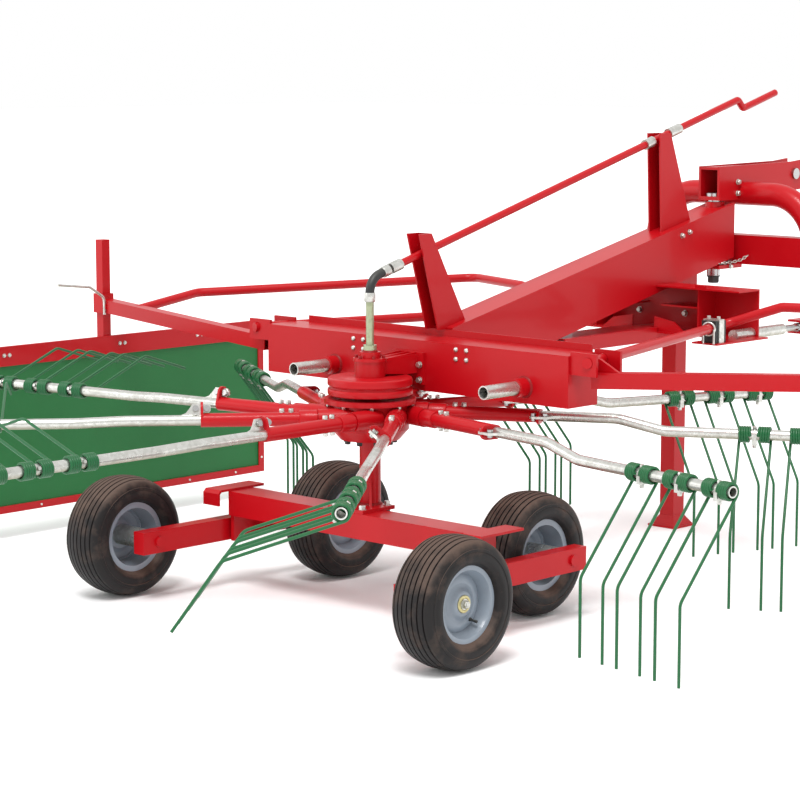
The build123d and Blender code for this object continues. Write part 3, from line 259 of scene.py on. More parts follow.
@dataclass(frozen=True)
class Finish:
    """A surface finish: a base colour worked over with grime and grain."""

    name: str
    colour: tuple[float, float, float]
    dirt: tuple[float, float, float] = (0.32, 0.28, 0.22)
    roughness: float = 0.35
    metallic: float = 0.0
    coat: float = 0.0
    gloss: float = 0.5
    dust: float = 0.25
    dust_scale: float = 5.0
    grain: float = 300.0
    grain_height: float = 0.02
    chip: float = 1.0
    chip_colour: tuple[float, float, float] = (0.10, 0.04, 0.03)

    def _start(self) -> tuple[bpy.types.Material, bpy.types.Nodes, bpy.types.NodeLinks, bpy.types.Node]:
        """Make the material with its shader.

        Returns:
            The material, its nodes, its links and its shader.
        """
        material = bpy.data.materials.new(self.name)
        material.use_nodes = True
        nodes, links = material.node_tree.nodes, material.node_tree.links
        shader = nodes["Principled BSDF"]
        shader.inputs["Metallic"].default_value = self.metallic
        shader.inputs["Coat Weight"].default_value = self.coat
        shader.inputs["Coat Roughness"].default_value = 0.08
        shader.inputs["Specular IOR Level"].default_value = self.gloss
        return material, nodes, links, shader

    def _effect(self, nodes: bpy.types.Nodes, tree: bpy.types.NodeTree, **values: float) -> bpy.types.Node:
        """Place a shared effect with this finish's values.

        Args:
            nodes: the material's nodes.
            tree: the shared effect.
            **values: a value for each of its inputs that differs from the default.

        Returns:
            The placed effect.
        """
        node = nodes.new("ShaderNodeGroup")
        node.node_tree = tree
        for key, value in values.items():
            node.inputs[key].default_value = value
        return node

    def _blend(self, nodes: bpy.types.Nodes, links: bpy.types.NodeLinks, mask: bpy.types.NodeSocket,
               below: Colour, above: Colour) -> bpy.types.NodeSocket:
        """Mix two colours by a mask.

        Args:
            nodes: the material's nodes.
            links: the material's links.
            mask: 0 shows the colour below and 1 the colour above.
            below: a plain colour or another mix.
            above: a plain colour or another mix.

        Returns:
            The mixed colour.
        """
        mix = nodes.new("ShaderNodeMix")
        mix.data_type = "RGBA"
        links.new(mask, mix.inputs["Factor"])
        for value, socket in ((below, mix.inputs["A"]), (above, mix.inputs["B"])):
            if isinstance(value, tuple):
                socket.default_value = (*value, 1.0)
            else:
                links.new(value, socket)
        return mix.outputs["Result"]

    def _spread(self, nodes: bpy.types.Nodes, links: bpy.types.NodeLinks, mask: bpy.types.NodeSocket,
                low: float, high: float) -> bpy.types.NodeSocket:
        """Turn a mask into a range of values.

        Args:
            nodes: the material's nodes.
            links: the material's links.
            mask: what is spread out.
            low: the value where the mask is 0.
            high: the value where the mask is 1.

        Returns:
            The spread value.
        """
        ramp = nodes.new("ShaderNodeMapRange")
        ramp.inputs["To Min"].default_value = low
        ramp.inputs["To Max"].default_value = high
        links.new(mask, ramp.inputs["Value"])
        return ramp.outputs["Result"]

    def _bump(self, nodes: bpy.types.Nodes, links: bpy.types.NodeLinks, height: bpy.types.NodeSocket,
              shader: bpy.types.Node, strength: float, distance: float) -> None:
        """Feed a height to the shader's normal.

        Args:
            nodes: the material's nodes.
            links: the material's links.
            height: the height over the surface.
            shader: the material's shader.
            strength: how much of the bump shows.
            distance: how tall it is, in metres.
        """
        bump = nodes.new("ShaderNodeBump")
        bump.inputs["Strength"].default_value = strength
        bump.inputs["Distance"].default_value = distance
        links.new(height, bump.inputs["Height"])
        links.new(bump.outputs["Normal"], shader.inputs["Normal"])

    def build(self) -> bpy.types.Material:
        """Make the material.

        Returns:
            The material.
        """
        material, nodes, links, shader = self._start()
        dust = self._effect(nodes, Effects.dust(), Scale=self.dust_scale, Strength=self.dust)
        grain = self._effect(nodes, Effects.speckle(), Scale=self.grain, Chips=self.chip)
        colour = self._blend(nodes, links, dust.outputs["Mask"], self.colour, self.dirt)
        if self.chip < 1.0:
            colour = self._blend(nodes, links, grain.outputs["Chip"], colour, self.chip_colour)
        links.new(colour, shader.inputs["Base Color"])
        rough = self._spread(nodes, links, dust.outputs["Mask"], self.roughness, self.roughness + 0.4)
        links.new(rough, shader.inputs["Roughness"])
        self._bump(nodes, links, grain.outputs["Height"], shader, 0.25, self.grain_height * 0.01)
        return material


@dataclass(frozen=True)
class ZincFinish(Finish):
    """Galvanised steel with crystals, dull patches, and an olive painted shade and painted reflection of
    grass on its downward faces.
    """

    spangle: float = 90.0
    dull: tuple[float, float, float] = (0.55, 0.55, 0.52)
    # Olive colour painted on downward faces as painted shade and a painted reflection of grass.
    painted_underside_olive: tuple[float, float, float] = (0.22, 0.20, 0.09)

    def build(self) -> bpy.types.Material:
        """Make the material.

        Returns:
            The material.
        """
        material, nodes, links, shader = self._start()
        zinc = self._effect(nodes, Effects.spangle(), Scale=self.spangle, Streaks=0.8)
        dust = self._effect(nodes, Effects.dust(), Scale=self.dust_scale, Strength=self.dust)
        colour = self._blend(nodes, links, zinc.outputs["Shade"], self.dull, self.colour)
        # Painted shade and painted reflection of grass: olive blended over the downward faces.
        under = self._effect(nodes, Effects.underside_shade_reflection())
        colour = self._blend(nodes, links, under.outputs["Mask"], colour, self.painted_underside_olive)
        colour = self._blend(nodes, links, dust.outputs["Mask"], colour, self.dirt)
        links.new(colour, shader.inputs["Base Color"])
        dull, bright = self.roughness + 0.14, self.roughness - 0.08
        rough = self._spread(nodes, links, zinc.outputs["Shade"], dull, bright)
        links.new(rough, shader.inputs["Roughness"])
        self._bump(nodes, links, zinc.outputs["Height"], shader, 0.06, 0.0003)
        return material


@dataclass(frozen=True)
class ClothFinish(Finish):
    """Woven cloth that lets a little light through its shading."""

    light: tuple[float, float, float] = (0.01, 0.16, 0.07)
    pitch: float = 260.0

    def build(self) -> bpy.types.Material:
        """Make the material.

        Returns:
            The material.
        """
        material, nodes, links, shader = self._start()
        weave = self._effect(nodes, Effects.weave(), Pitch=self.pitch)
        dust = self._effect(nodes, Effects.dust(), Scale=2.2, Strength=self.dust)
        colour = self._blend(nodes, links, weave.outputs["Shade"], self.colour, self.light)
        colour = self._blend(nodes, links, dust.outputs["Mask"], colour, self.dirt)
        links.new(colour, shader.inputs["Base Color"])
        rough = self._spread(nodes, links, weave.outputs["Height"], self.roughness + 0.15, self.roughness)
        links.new(rough, shader.inputs["Roughness"])
        self._bump(nodes, links, weave.outputs["Height"], shader, 0.4, 0.0006)
        return material


@dataclass(frozen=True)
class TyreFinish(Finish):
    """Rubber, dustier on the tread than on the walls."""

    def build(self) -> bpy.types.Material:
        """Make the material.

        Returns:
            The material.
        """
        material, nodes, links, shader = self._start()
        soil = self._effect(nodes, Effects.dust(), Scale=16.0, Reach=0.55, Strength=self.dust)
        grain = self._effect(nodes, Effects.speckle(), Scale=self.grain, Chips=1.0)
        colour = self._blend(nodes, links, soil.outputs["Mask"], self.colour, self.dirt)
        links.new(colour, shader.inputs["Base Color"])
        rough = self._spread(nodes, links, soil.outputs["Mask"], self.roughness - 0.12, self.roughness + 0.2)
        links.new(rough, shader.inputs["Roughness"])
        self._bump(nodes, links, grain.outputs["Height"], shader, 0.35, 0.0006)
        return material


class Palette:
    """Every finish of the machine, built once."""

    finishes = {
        "red": Finish("red_paint", Paint.RED.value, dirt=(0.34, 0.03, 0.03), roughness=0.34, coat=0.10,
                      gloss=0.22, dust=0.08, grain=240.0, grain_height=0.02, chip=0.82,
                      chip_colour=(0.16, 0.006, 0.008)),
        "deep": Finish("red_paint_rough", Paint.DEEP_RED.value, dirt=(0.10, 0.04, 0.03), roughness=0.45,
                       coat=0.05, gloss=0.2, dust=0.2, grain=160.0, grain_height=0.05, chip=0.78,
                       chip_colour=(0.06, 0.02, 0.02)),
        "green": Finish("tine_paint", Paint.TINE_GREEN.value, dirt=(0.10, 0.14, 0.06), roughness=0.36,
                        coat=0.08, gloss=0.3, dust=0.12, grain=500.0, chip=0.80,
                        chip_colour=(0.05, 0.06, 0.04)),
        "grey": Finish("rim_paint", Paint.RIM_GREY.value, dirt=(0.16, 0.15, 0.14), roughness=0.36, coat=0.3,
                       dust=0.25, chip=0.8, chip_colour=(0.10, 0.09, 0.08)),
        # Zinc's olive painted shade and painted grass reflection on downward faces; the other zinc finishes
        # keep the default colour for it.
        "zinc": ZincFinish("hot_dip_zinc", (0.70, 0.70, 0.67), roughness=0.30, metallic=0.85, dust=0.05,
                           dull=(0.38, 0.38, 0.34), painted_underside_olive=(0.16, 0.15, 0.06)),
        "yellow": ZincFinish("yellow_zinc", (0.62, 0.56, 0.30), roughness=0.32, metallic=0.9,
                             dull=(0.42, 0.36, 0.17)),
        "olive": ZincFinish("olive_zinc", (0.42, 0.46, 0.30), roughness=0.36, metallic=0.7,
                            dull=(0.26, 0.30, 0.18)),
        "steel": ZincFinish("bare_steel", (0.52, 0.52, 0.52), roughness=0.28, metallic=1.0, spangle=14.0,
                            dull=(0.30, 0.29, 0.28)),
        "dark": Finish("dark_iron", (0.045, 0.042, 0.04), roughness=0.45, metallic=0.6, dust=0.2),
        "rubber": Finish("black_rubber", (0.012, 0.014, 0.014), roughness=0.45, dust=0.12, grain=700.0),
        "tyre": TyreFinish("tyre_rubber", (0.0085, 0.0070, 0.0072), dirt=(0.120, 0.078, 0.060),
                           roughness=0.62, gloss=0.28, dust=0.75, grain=420.0),
        "cloth": ClothFinish("curtain_cloth", (0.004, 0.115, 0.022), light=(0.006, 0.150, 0.032),
                             dirt=(0.02, 0.12, 0.04), roughness=0.62, dust=0.05),
    }
    made: dict[str, bpy.types.Material] = {}

    @classmethod
    def get(cls, key: str) -> bpy.types.Material:
        """Look up a finish's material, and make it the first time.

        Args:
            key: the finish's key.

        Returns:
            The material.
        """
        if key not in cls.made:
            cls.made[key] = cls.finishes[key].build()
        return cls.made[key]


class Mesh:
    """Builds one mesh object from simple metal-work moves."""

    def __init__(self) -> None:
        """Start with nothing."""
        self.bm = bmesh.new()

    def _frame_of(self, axis: Vector) -> tuple[Vector, Vector, Vector]:
        """Find directions square to an axis.

        Args:
            axis: any direction.

        Returns:
            Two directions square to it and to each other, and the axis itself at unit length.
        """
        axis = axis.normalized()
        side = axis.cross(Z)
        if side.length < 1e-4:
            side = X.copy()
        side.normalize()
        return side, axis.cross(side).normalized(), axis

    def turned(self, start: Vector, axis: Vector, profile: Profile, count: int = 48,
               closed: bool = False) -> "Mesh":
        """Revolve (distance along the axis, radius) points about an axis.

        Args:
            start: the axis's zero point.
            axis: the axis's direction.
            profile: points from one end to the other.
            count: how many steps go round.
            closed: whether the last point joins the first.

        Returns:
            This builder.
        """
        side, up, axis = self._frame_of(axis)
        rings = []
        for along, radius in profile:
            if radius < 1e-6:
                rings.append([self.bm.verts.new(start + axis * along)])
                continue
            ring = []
            for step in range(count):
                a = 2 * pi * step / count
                ring.append(self.bm.verts.new(start + axis * along + (side * cos(a) + up * sin(a)) * radius))
            rings.append(ring)
        pairs = list(zip(rings, rings[1:]))
        if closed:
            pairs.append((rings[-1], rings[0]))
        for one, two in pairs:
            for step in range(count):
                after = (step + 1) % count
                if len(one) == 1 and len(two) == 1:
                    continue
                if len(one) == 1:
                    self.bm.faces.new((one[0], two[after], two[step]))
                elif len(two) == 1:
                    self.bm.faces.new((one[step], one[after], two[0]))
                else:
                    self.bm.faces.new((one[step], one[after], two[after], two[step]))
        return self

    def tube(self, points: list[Vector], radius: float, count: int = 12, ends: bool = True) -> "Mesh":
        """Round wire or tube along a line of points.

        Args:
            points: the centre line.
            radius: the wire's radius.
            count: how many sides it has.
            ends: whether its ends are closed.

        Returns:
            This builder.
        """
        rings = []
        side = None
        for index, point in enumerate(points):
            before = points[max(0, index - 1)]
            after = points[min(len(points) - 1, index + 1)]
            axis = (after - before).normalized()
            if side is None:
                side, _, _ = self._frame_of(axis)
            side = (side - axis * side.dot(axis)).normalized()
            up = axis.cross(side)
            turns = [2 * pi * step / count for step in range(count)]
            rings.append([self.bm.verts.new(point + (side * cos(a) + up * sin(a)) * radius) for a in turns])
        for one, two in zip(rings, rings[1:]):
            for step in range(count):
                after = (step + 1) % count
                self.bm.faces.new((one[step], one[after], two[after], two[step]))
        if ends:
            self.bm.faces.new(list(reversed(rings[0])))
            self.bm.faces.new(rings[-1])
        return self

    def bolt(self, seat: Vector, axis: Vector, across: float, height: float, washer: float = 1.35) -> "Mesh":
        """Hexagon head on a washer, with a chamfered crown.

        Args:
            seat: middle of the face that it stands on.
            axis: the way it points.
            across: width over two flats of the head.
            height: of washer and head together.
            washer: the washer's width as a share of the head's.

        Returns:
            This builder.
        """
        axis = axis.normalized()
        thick, rim = height * 0.2, across * washer / 2
        self.turned(seat, axis, [(0.0, 0.0), (0.0, rim), (thick, rim), (thick, 0.0)], 20)
        radius = across / 2 / cos(pi / 6)
        flat, crown = height * 0.72, height * 0.9
        head = [(0.0, 0.0), (0.0, radius), (flat, radius), (crown, radius * 0.86), (crown, 0.0)]
        self.turned(seat + axis * thick, axis, head, 6)
        return self

    def object(self, name: str, finish: str, body: str, smooth: float = 35.0,
               slot: str = "") -> bpy.types.Object:
        """Finish the mesh as an object that rides on a body.

        Args:
            name: the piece's name.
            finish: key of its finish.
            body: the body it moves with.
            smooth: edges sharper than this many degrees stay sharp.
            slot: not used; the record's material slot, where it has one.

        Returns:
            The object.
        """
        bmesh.ops.recalc_face_normals(self.bm, faces=self.bm.faces)
        for face in self.bm.faces:
            face.smooth = True
        for edge in self.bm.edges:
            if len(edge.link_faces) == 2 and edge.calc_face_angle() > radians(smooth):
                edge.smooth = False
        data = bpy.data.meshes.new(name)
        self.bm.to_mesh(data)
        self.bm.free()
        obj = bpy.data.objects.new(name, data)
        bpy.context.scene.collection.objects.link(obj)
        data.materials.append(Palette.get(finish))
        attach(obj, body)
        LOG.info("%s: %d faces", name, len(data.polygons))
        return obj


def dress_node(node: str, finish: str) -> None:
    """Give a CAD node's object one of the finishes.

    Args:
        node: the node's name.
        finish: the finish's key.
    """
    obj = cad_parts[node]
    obj.data.materials.clear()
    obj.data.materials.append(Palette.get(finish))
    for polygon in obj.data.polygons:
        polygon.material_index = 0


@dataclass
class Wheel:
    """Ribbed implement tyre on a dished steel rim."""

    name: str
    centre: Vector
    outward: int
    radius: float = 0.2030
    width: float = 0.165
    tread: float = 0.132
    tread_steps: int = 160
    crown_drop: float = 0.0105
    grooves: tuple[float, ...] = (-0.057, -0.038, -0.019, 0.0, 0.019, 0.038, 0.057)
    groove_half: float = 0.0024
    groove_depth: float = 0.0060
    valve_angle: float = -0.9
    valve_radius: float = 0.0700

    def tyre(self) -> None:
        """Casing with circumferential grooves, shoulder ribs and wall rings."""
        top, tread = self.radius, self.tread / 2
        crown = []
        for step in range(self.tread_steps + 1):
            x = -tread + 2 * tread * step / self.tread_steps
            drop = self.crown_drop * (x / tread) ** 2
            depth = 0.0
            for groove in self.grooves:
                share = abs(x - groove) / self.groove_half
                if share < 1:
                    depth = self.groove_depth * (1 - share ** 4)
            crown.append((x, top - 0.0006 - drop - depth))
        shoulder = [(0.0705, top - 0.0155), (0.0745, top - 0.021), (0.0775, top - 0.029),
                    (0.0785, top - 0.034), (0.0800, top - 0.0345), (0.0808, top - 0.042),
                    (0.0790, top - 0.0435),
                    (0.0812, top - 0.052), (self.width / 2 - 0.0009, top - 0.062), (0.0798, top - 0.0700),
                    (0.0790, top - 0.0706), (0.0775, top - 0.0745), (0.0705, top - 0.0810),
                    (0.0605, 0.1185), (0.0555, 0.1160), (0.0520, 0.1042)]
        profile = [(-x, radius) for x, radius in reversed(shoulder)] + crown + shoulder
        mesh = Mesh().turned(self.centre, X, profile, 96, closed=True)
        casing = mesh.object(f"tyre_casing_{self.name}", "tyre", f"wheel_{self.name}", 50.0, "tyre")
        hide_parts(f"tyre_{self.name}")

    def rim(self) -> None:
        """Rolled rim with its well, and the dish welded into it."""
        axis = X * self.outward
        flange = [(-0.058, 0.0985), (-0.0575, 0.1215), (-0.0530, 0.1225), (-0.0515, 0.1200),
                  (-0.0512, 0.1045), (-0.046, 0.1030), (-0.020, 0.0920), (0.020, 0.0920), (0.046, 0.1030),
                  (0.0512, 0.1045), (0.0515, 0.1200), (0.0530, 0.1225), (0.0575, 0.1215), (0.0580, 0.1150),
                  (0.0562, 0.1030), (0.0480, 0.0985), (0.022, 0.0885), (-0.022, 0.0885), (-0.050, 0.0975)]
        mesh = Mesh().turned(self.centre, axis, flange, 72, closed=True)
        dish = [(0.012, 0.0890), (0.020, 0.0885), (0.0235, 0.0820), (0.0275, 0.0660), (0.0265, 0.0560),
                (0.0200, 0.0480), (0.0190, 0.0335), (0.0155, 0.0335), (0.0160, 0.0480), (0.0225, 0.0575),
                (0.0235, 0.0660), (0.0195, 0.0800), (0.0120, 0.0840)]
        mesh.turned(self.centre, axis, dish, 72, closed=True)
        steel = mesh.object(f"rim_steel_{self.name}", "grey", f"wheel_{self.name}", 32.0, "grey_paint")
        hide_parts(f"rim_{self.name}")
        self.hub(axis)

    def hub(self, axis: Vector) -> None:
        """Pressed boss of the dish, bearing ring, nut and valve.

        Args:
            axis: direction away from the rocker.
        """
        body = f"wheel_{self.name}"
        boss = [(0.0272, 0.0600), (0.0285, 0.0520), (0.0330, 0.0450), (0.0390, 0.0390), (0.0415, 0.0340),
                (0.0415, 0.0265), (0.0404, 0.0255)]
        Mesh().turned(self.centre, axis, boss, 48).object(f"dish_boss_{self.name}", "grey", body, 40.0)
        ring = [(0.0404, 0.0), (0.0404, 0.0270), (0.0440, 0.0270), (0.0455, 0.0255), (0.0455, 0.0190),
                (0.0442, 0.0180), (0.0442, 0.0)]
        Mesh().turned(self.centre, axis, ring, 40).object(f"bearing_ring_{self.name}", "yellow", body, 30.0)
        nut = Mesh().bolt(self.centre + axis * 0.0442, axis, 0.022, 0.013, 1.5)
        tip = [(0.0, 0.0), (0.0, 0.0072), (0.0045, 0.0066), (0.0055, 0.0)]
        nut.turned(self.centre + axis * 0.0555, axis, tip, 20)
        nut.object(f"axle_nut_{self.name}", "zinc", body, 30.0)
        out = Y * cos(self.valve_angle) + Z * sin(self.valve_angle)
        foot = self.centre + axis * 0.0245 + out * self.valve_radius
        stem = [(0.0, 0.0), (0.0, 0.0062), (0.0060, 0.0058), (0.0075, 0.0036), (0.0200, 0.0036),
                (0.0205, 0.0046), (0.0280, 0.0046), (0.0290, 0.0)]
        Mesh().turned(foot, axis + out * 0.25, stem, 16).object(f"valve_{self.name}", "rubber", body, 30.0)

    def build(self) -> None:
        """Make the whole wheel."""
        self.tyre()
        self.rim()
        dress_node(f"wheel_hub_{self.name}", "zinc")


@dataclass
class RunningGear:
    """Four wheels on two rockers below the axle box."""

    wheel_base: float = 0.712
    axle_y: float = -0.064
    rocker_x: float = 0.596
    offset: float = 0.156
    height: float = 0.203
    plate_top: float = 0.349
    plate_x: tuple[float, ...] = (-0.062, 0.062)
    plate_y: tuple[float, ...] = (-0.100, 0.016)
    pin_reach: float = 0.637

    def centre(self, side: int, end: int) -> Vector:
        """Find the centre of one wheel.

        Args:
            side: -1 on the left and 1 on the right.
            end: -1 at the rear and 1 at the front.

        Returns:
            The middle of the wheel, on its axle's line.
        """
        x = side * self.rocker_x - end * side * self.offset
        return at(x, self.axle_y + end * self.wheel_base / 2, self.height)

    def build(self) -> None:
        """Make wheels, end caps and bolts."""
        for side_name, side in (("left", -1), ("right", 1)):
            for end_name, end in (("rear", -1), ("front", 1)):
                Wheel(f"{end_name}_{side_name}", self.centre(side, end), -end * side).build()
            dress_node(f"rocker_{side_name}", "red")
        dress_node("axle_beam", "red")
        dress_node("mast", "red")
        self.fixings()

    def fixings(self) -> None:
        """Foot bolts of the mast, nuts of the rocker pins and the weld round the mast."""
        bolts = Mesh()
        for x in self.plate_x:
            for y in self.plate_y:
                bolts.bolt(at(x, y, self.plate_top), Z, 0.019, 0.013)
        for side in (-1, 1):
            bolts.bolt(at(side * self.pin_reach, self.axle_y, self.height), X * side, 0.030, 0.016, 1.3)
        bolts.object("axle_bolts", "zinc", "axle", 30.0)
        bead = [(0.0, 0.0345), (0.0, 0.0420), (0.0028, 0.0405), (0.0060, 0.0372), (0.0072, 0.0345)]
        weld = Mesh().turned(at(0, 0, self.plate_top), Z, bead, 60)
        weld.object("mast_weld", "deep", "axle", 60.0)


@dataclass
class Rotor:
    """Nine arms with double spring tines."""

    rolls: tuple[float, ...] = (0, 0, 0, 0, 0, 73, 73, 73, 35)
    first_angle: float = -11.0
    arm_step: float = 360.0 / ARMS
    height: float = 0.646
    offset: float = 0.094
    drop: float = 0.035
    first_coil: float = 1.185
    pitch: float = 0.163
    pairs: int = 3
    coil_length: float = 0.046
    clamp: float = 0.018
    coil_radius: float = 0.0275
    wire: float = 0.00475
    turns: float = 4.6
    upper: float = 0.345
    lower: float = 0.235
    rake: float = 36.0
    bend: float = 0.040
    bridge_rise: float = 0.0015
    nut_circle: float = 0.080
    nut_height: float = 0.565
    screw_circle: float = 0.139
    screw_height: float = 0.684
    sleeve_reach: float = 0.1762
    sleeve_bolts: tuple[float, ...] = (0.262, 0.292)
    shaft_rise: float = 0.0218
    saddle_depth: float = 0.031
    tube_rise: float = 0.0165

    def along(self, index: float, turned: float = 0.0) -> Vector:
        """Find the way an arm points.

        Args:
            index: the arm's number from 0.
            turned: degrees past it.

        Returns:
            A level direction at unit length.
        """
        turn = radians(self.first_angle + turned + index * self.arm_step)
        return Vector((cos(turn), sin(turn), 0))

    def place(self, index: int) -> Matrix:
        """Find the frame of one arm: X along it, Y the way it is driven.

        Args:
            index: the arm's number from 0.

        Returns:
            The arm's place, rolled as its cam holds it.
        """
        turn = radians(self.first_angle + index * self.arm_step)
        roll = -radians(self.rolls[index])
        return (Matrix.Translation(SHIFT + Z * self.height) @ Matrix.Rotation(turn, 4, "Z")
                @ Matrix.Translation((0, self.offset, 0)) @ Matrix.Rotation(roll, 4, "X"))

    def coil_line(self, start: float, end: float, leave_at_start: bool) -> list[Vector]:
        """Centre line of one coil and its tine.

        Args:
            start: where the coil begins along the arm.
            end: where it ends.
            leave_at_start: whether the tine leaves the coil's inner end.

        Returns:
            Points from the bridge to the tine's tip.
        """
        mean = self.coil_radius - self.wire
        rake = radians(self.rake)
        first, last = start + self.wire, end - self.wire
        if leave_at_start:
            first, last = last, first
        points = []
        steps = int(self.turns * 20)
        for step in range(steps + 1):
            share = step / steps
            a = self.turns * 2 * pi * (1 - share) - rake
            x = first + (last - first) * share
            points.append(Vector((x, mean * cos(a), mean * sin(a) - self.drop)))
        down = Vector((0, -sin(rake), -cos(rake)))
        top = points[-1]
        elbow = top + down * self.upper
        setback = self.bend * tan(rake / 2)
        points.append(top + down * 0.02)
        points.append(elbow - down * setback - down * 0.001)
        pivot = elbow - down * setback - Vector((0, -cos(rake), sin(rake))) * self.bend
        for step in range(1, 6):
            a = rake * (1 - step / 6)
            points.append(pivot + Vector((0, -cos(a), sin(a))) * self.bend)
        points.append(elbow - Z * setback)
        points.append(elbow - Z * self.lower)
        return points

    def tines(self) -> None:
        """All the spring tines, wound from one wire a pair."""
        across = (self.coil_radius - self.wire) * cos(radians(self.rake)) + self.bridge_rise
        for index in range(ARMS):
            place = self.place(index)
            mesh = Mesh()
            for pair in range(self.pairs):
                start = self.first_coil + pair * self.pitch
                second = start + self.coil_length + self.clamp
                end = second + self.coil_length
                one = self.coil_line(start, start + self.coil_length, True)
                two = self.coil_line(second, end, False)
                bridge = Vector((start + self.coil_length + self.clamp / 2, across, one[0].z))
                mesh.tube([place @ point for point in (*reversed(one), bridge, *two)], self.wire, 8)
            mesh.object(f"spring_tines_{index + 1}", "green", "rotor", 60.0, "green_paint")
        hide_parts("tines")

    def sleeves(self) -> None:
        """Clamping sleeve on each shaft beside the hub, with two bolts on top."""
        sleeves, bolts = Mesh(), Mesh()
        sleeve = [(0.0, 0.0228), (0.0, 0.0262), (0.0030, 0.0285), (0.0560, 0.0285), (0.0600, 0.0262),
                  (0.0610, 0.0228)]
        for index in range(ARMS):
            along = self.along(index)
            across = self.along(index, 90.0)
            root = SHIFT + Z * self.height + across * self.offset
            sleeves.turned(root + along * self.sleeve_reach, along, sleeve, 40)
            for x in self.sleeve_bolts:
                bolts.bolt(root + along * x + Z * self.shaft_rise, Z, 0.015, 0.011, 1.2)
                bolts.bolt(root + along * x - Z * self.shaft_rise, -Z, 0.015, 0.010, 1.2)
        sleeves.object("arm_sleeves", "red", "rotor", 30.0)
        bolts.object("arm_bolts", "zinc", "rotor", 30.0)

    def clamp_bolts(self) -> None:
        """Bolt under each tine's saddle and its nut on the tube."""
        bolts = Mesh()
        for index in range(ARMS):
            place = self.place(index)
            turn = place.to_3x3()
            for pair in range(self.pairs):
                x = self.first_coil + pair * self.pitch + self.coil_length + self.clamp / 2
                below = place @ Vector((x, 0, -self.drop - self.saddle_depth))
                above = place @ Vector((x, 0, -self.drop + self.tube_rise))
                bolts.bolt(below, turn @ -Z, 0.013, 0.010, 1.25)
                bolts.bolt(above, turn @ Z, 0.012, 0.009, 1.25)
        bolts.object("tine_bolts", "zinc", "rotor", 30.0)

    def hub_bolts(self) -> None:
        """Nuts under the bell and the cap screws of its flange."""
        nuts, screws = Mesh(), Mesh()
        for index in range(ARMS):
            nut = self.along(index, self.arm_step / 2) * self.nut_circle
            nuts.bolt(SHIFT + nut + Z * self.nut_height, -Z, 0.017, 0.013, 1.3)
            screw = self.along(index, 8.0) * self.screw_circle
            screws.bolt(SHIFT + screw + Z * self.screw_height, -Z, 0.012, 0.009, 1.2)
        nuts.object("hub_nuts", "dark", "rotor", 30.0)
        screws.object("flange_screws", "zinc", "rotor", 30.0)

    def build(self) -> None:
        """Make the tines and dress the hub and arms."""
        self.tines()
        self.sleeves()
        self.clamp_bolts()
        self.hub_bolts()
        finishes = {"rotor_hub": "red", "arm_shafts": "red", "arm_tubes": "zinc", "arm_pins": "steel",
                    "tine_clamps": "zinc"}
        for node, finish in finishes.items():
            dress_node(node, finish)


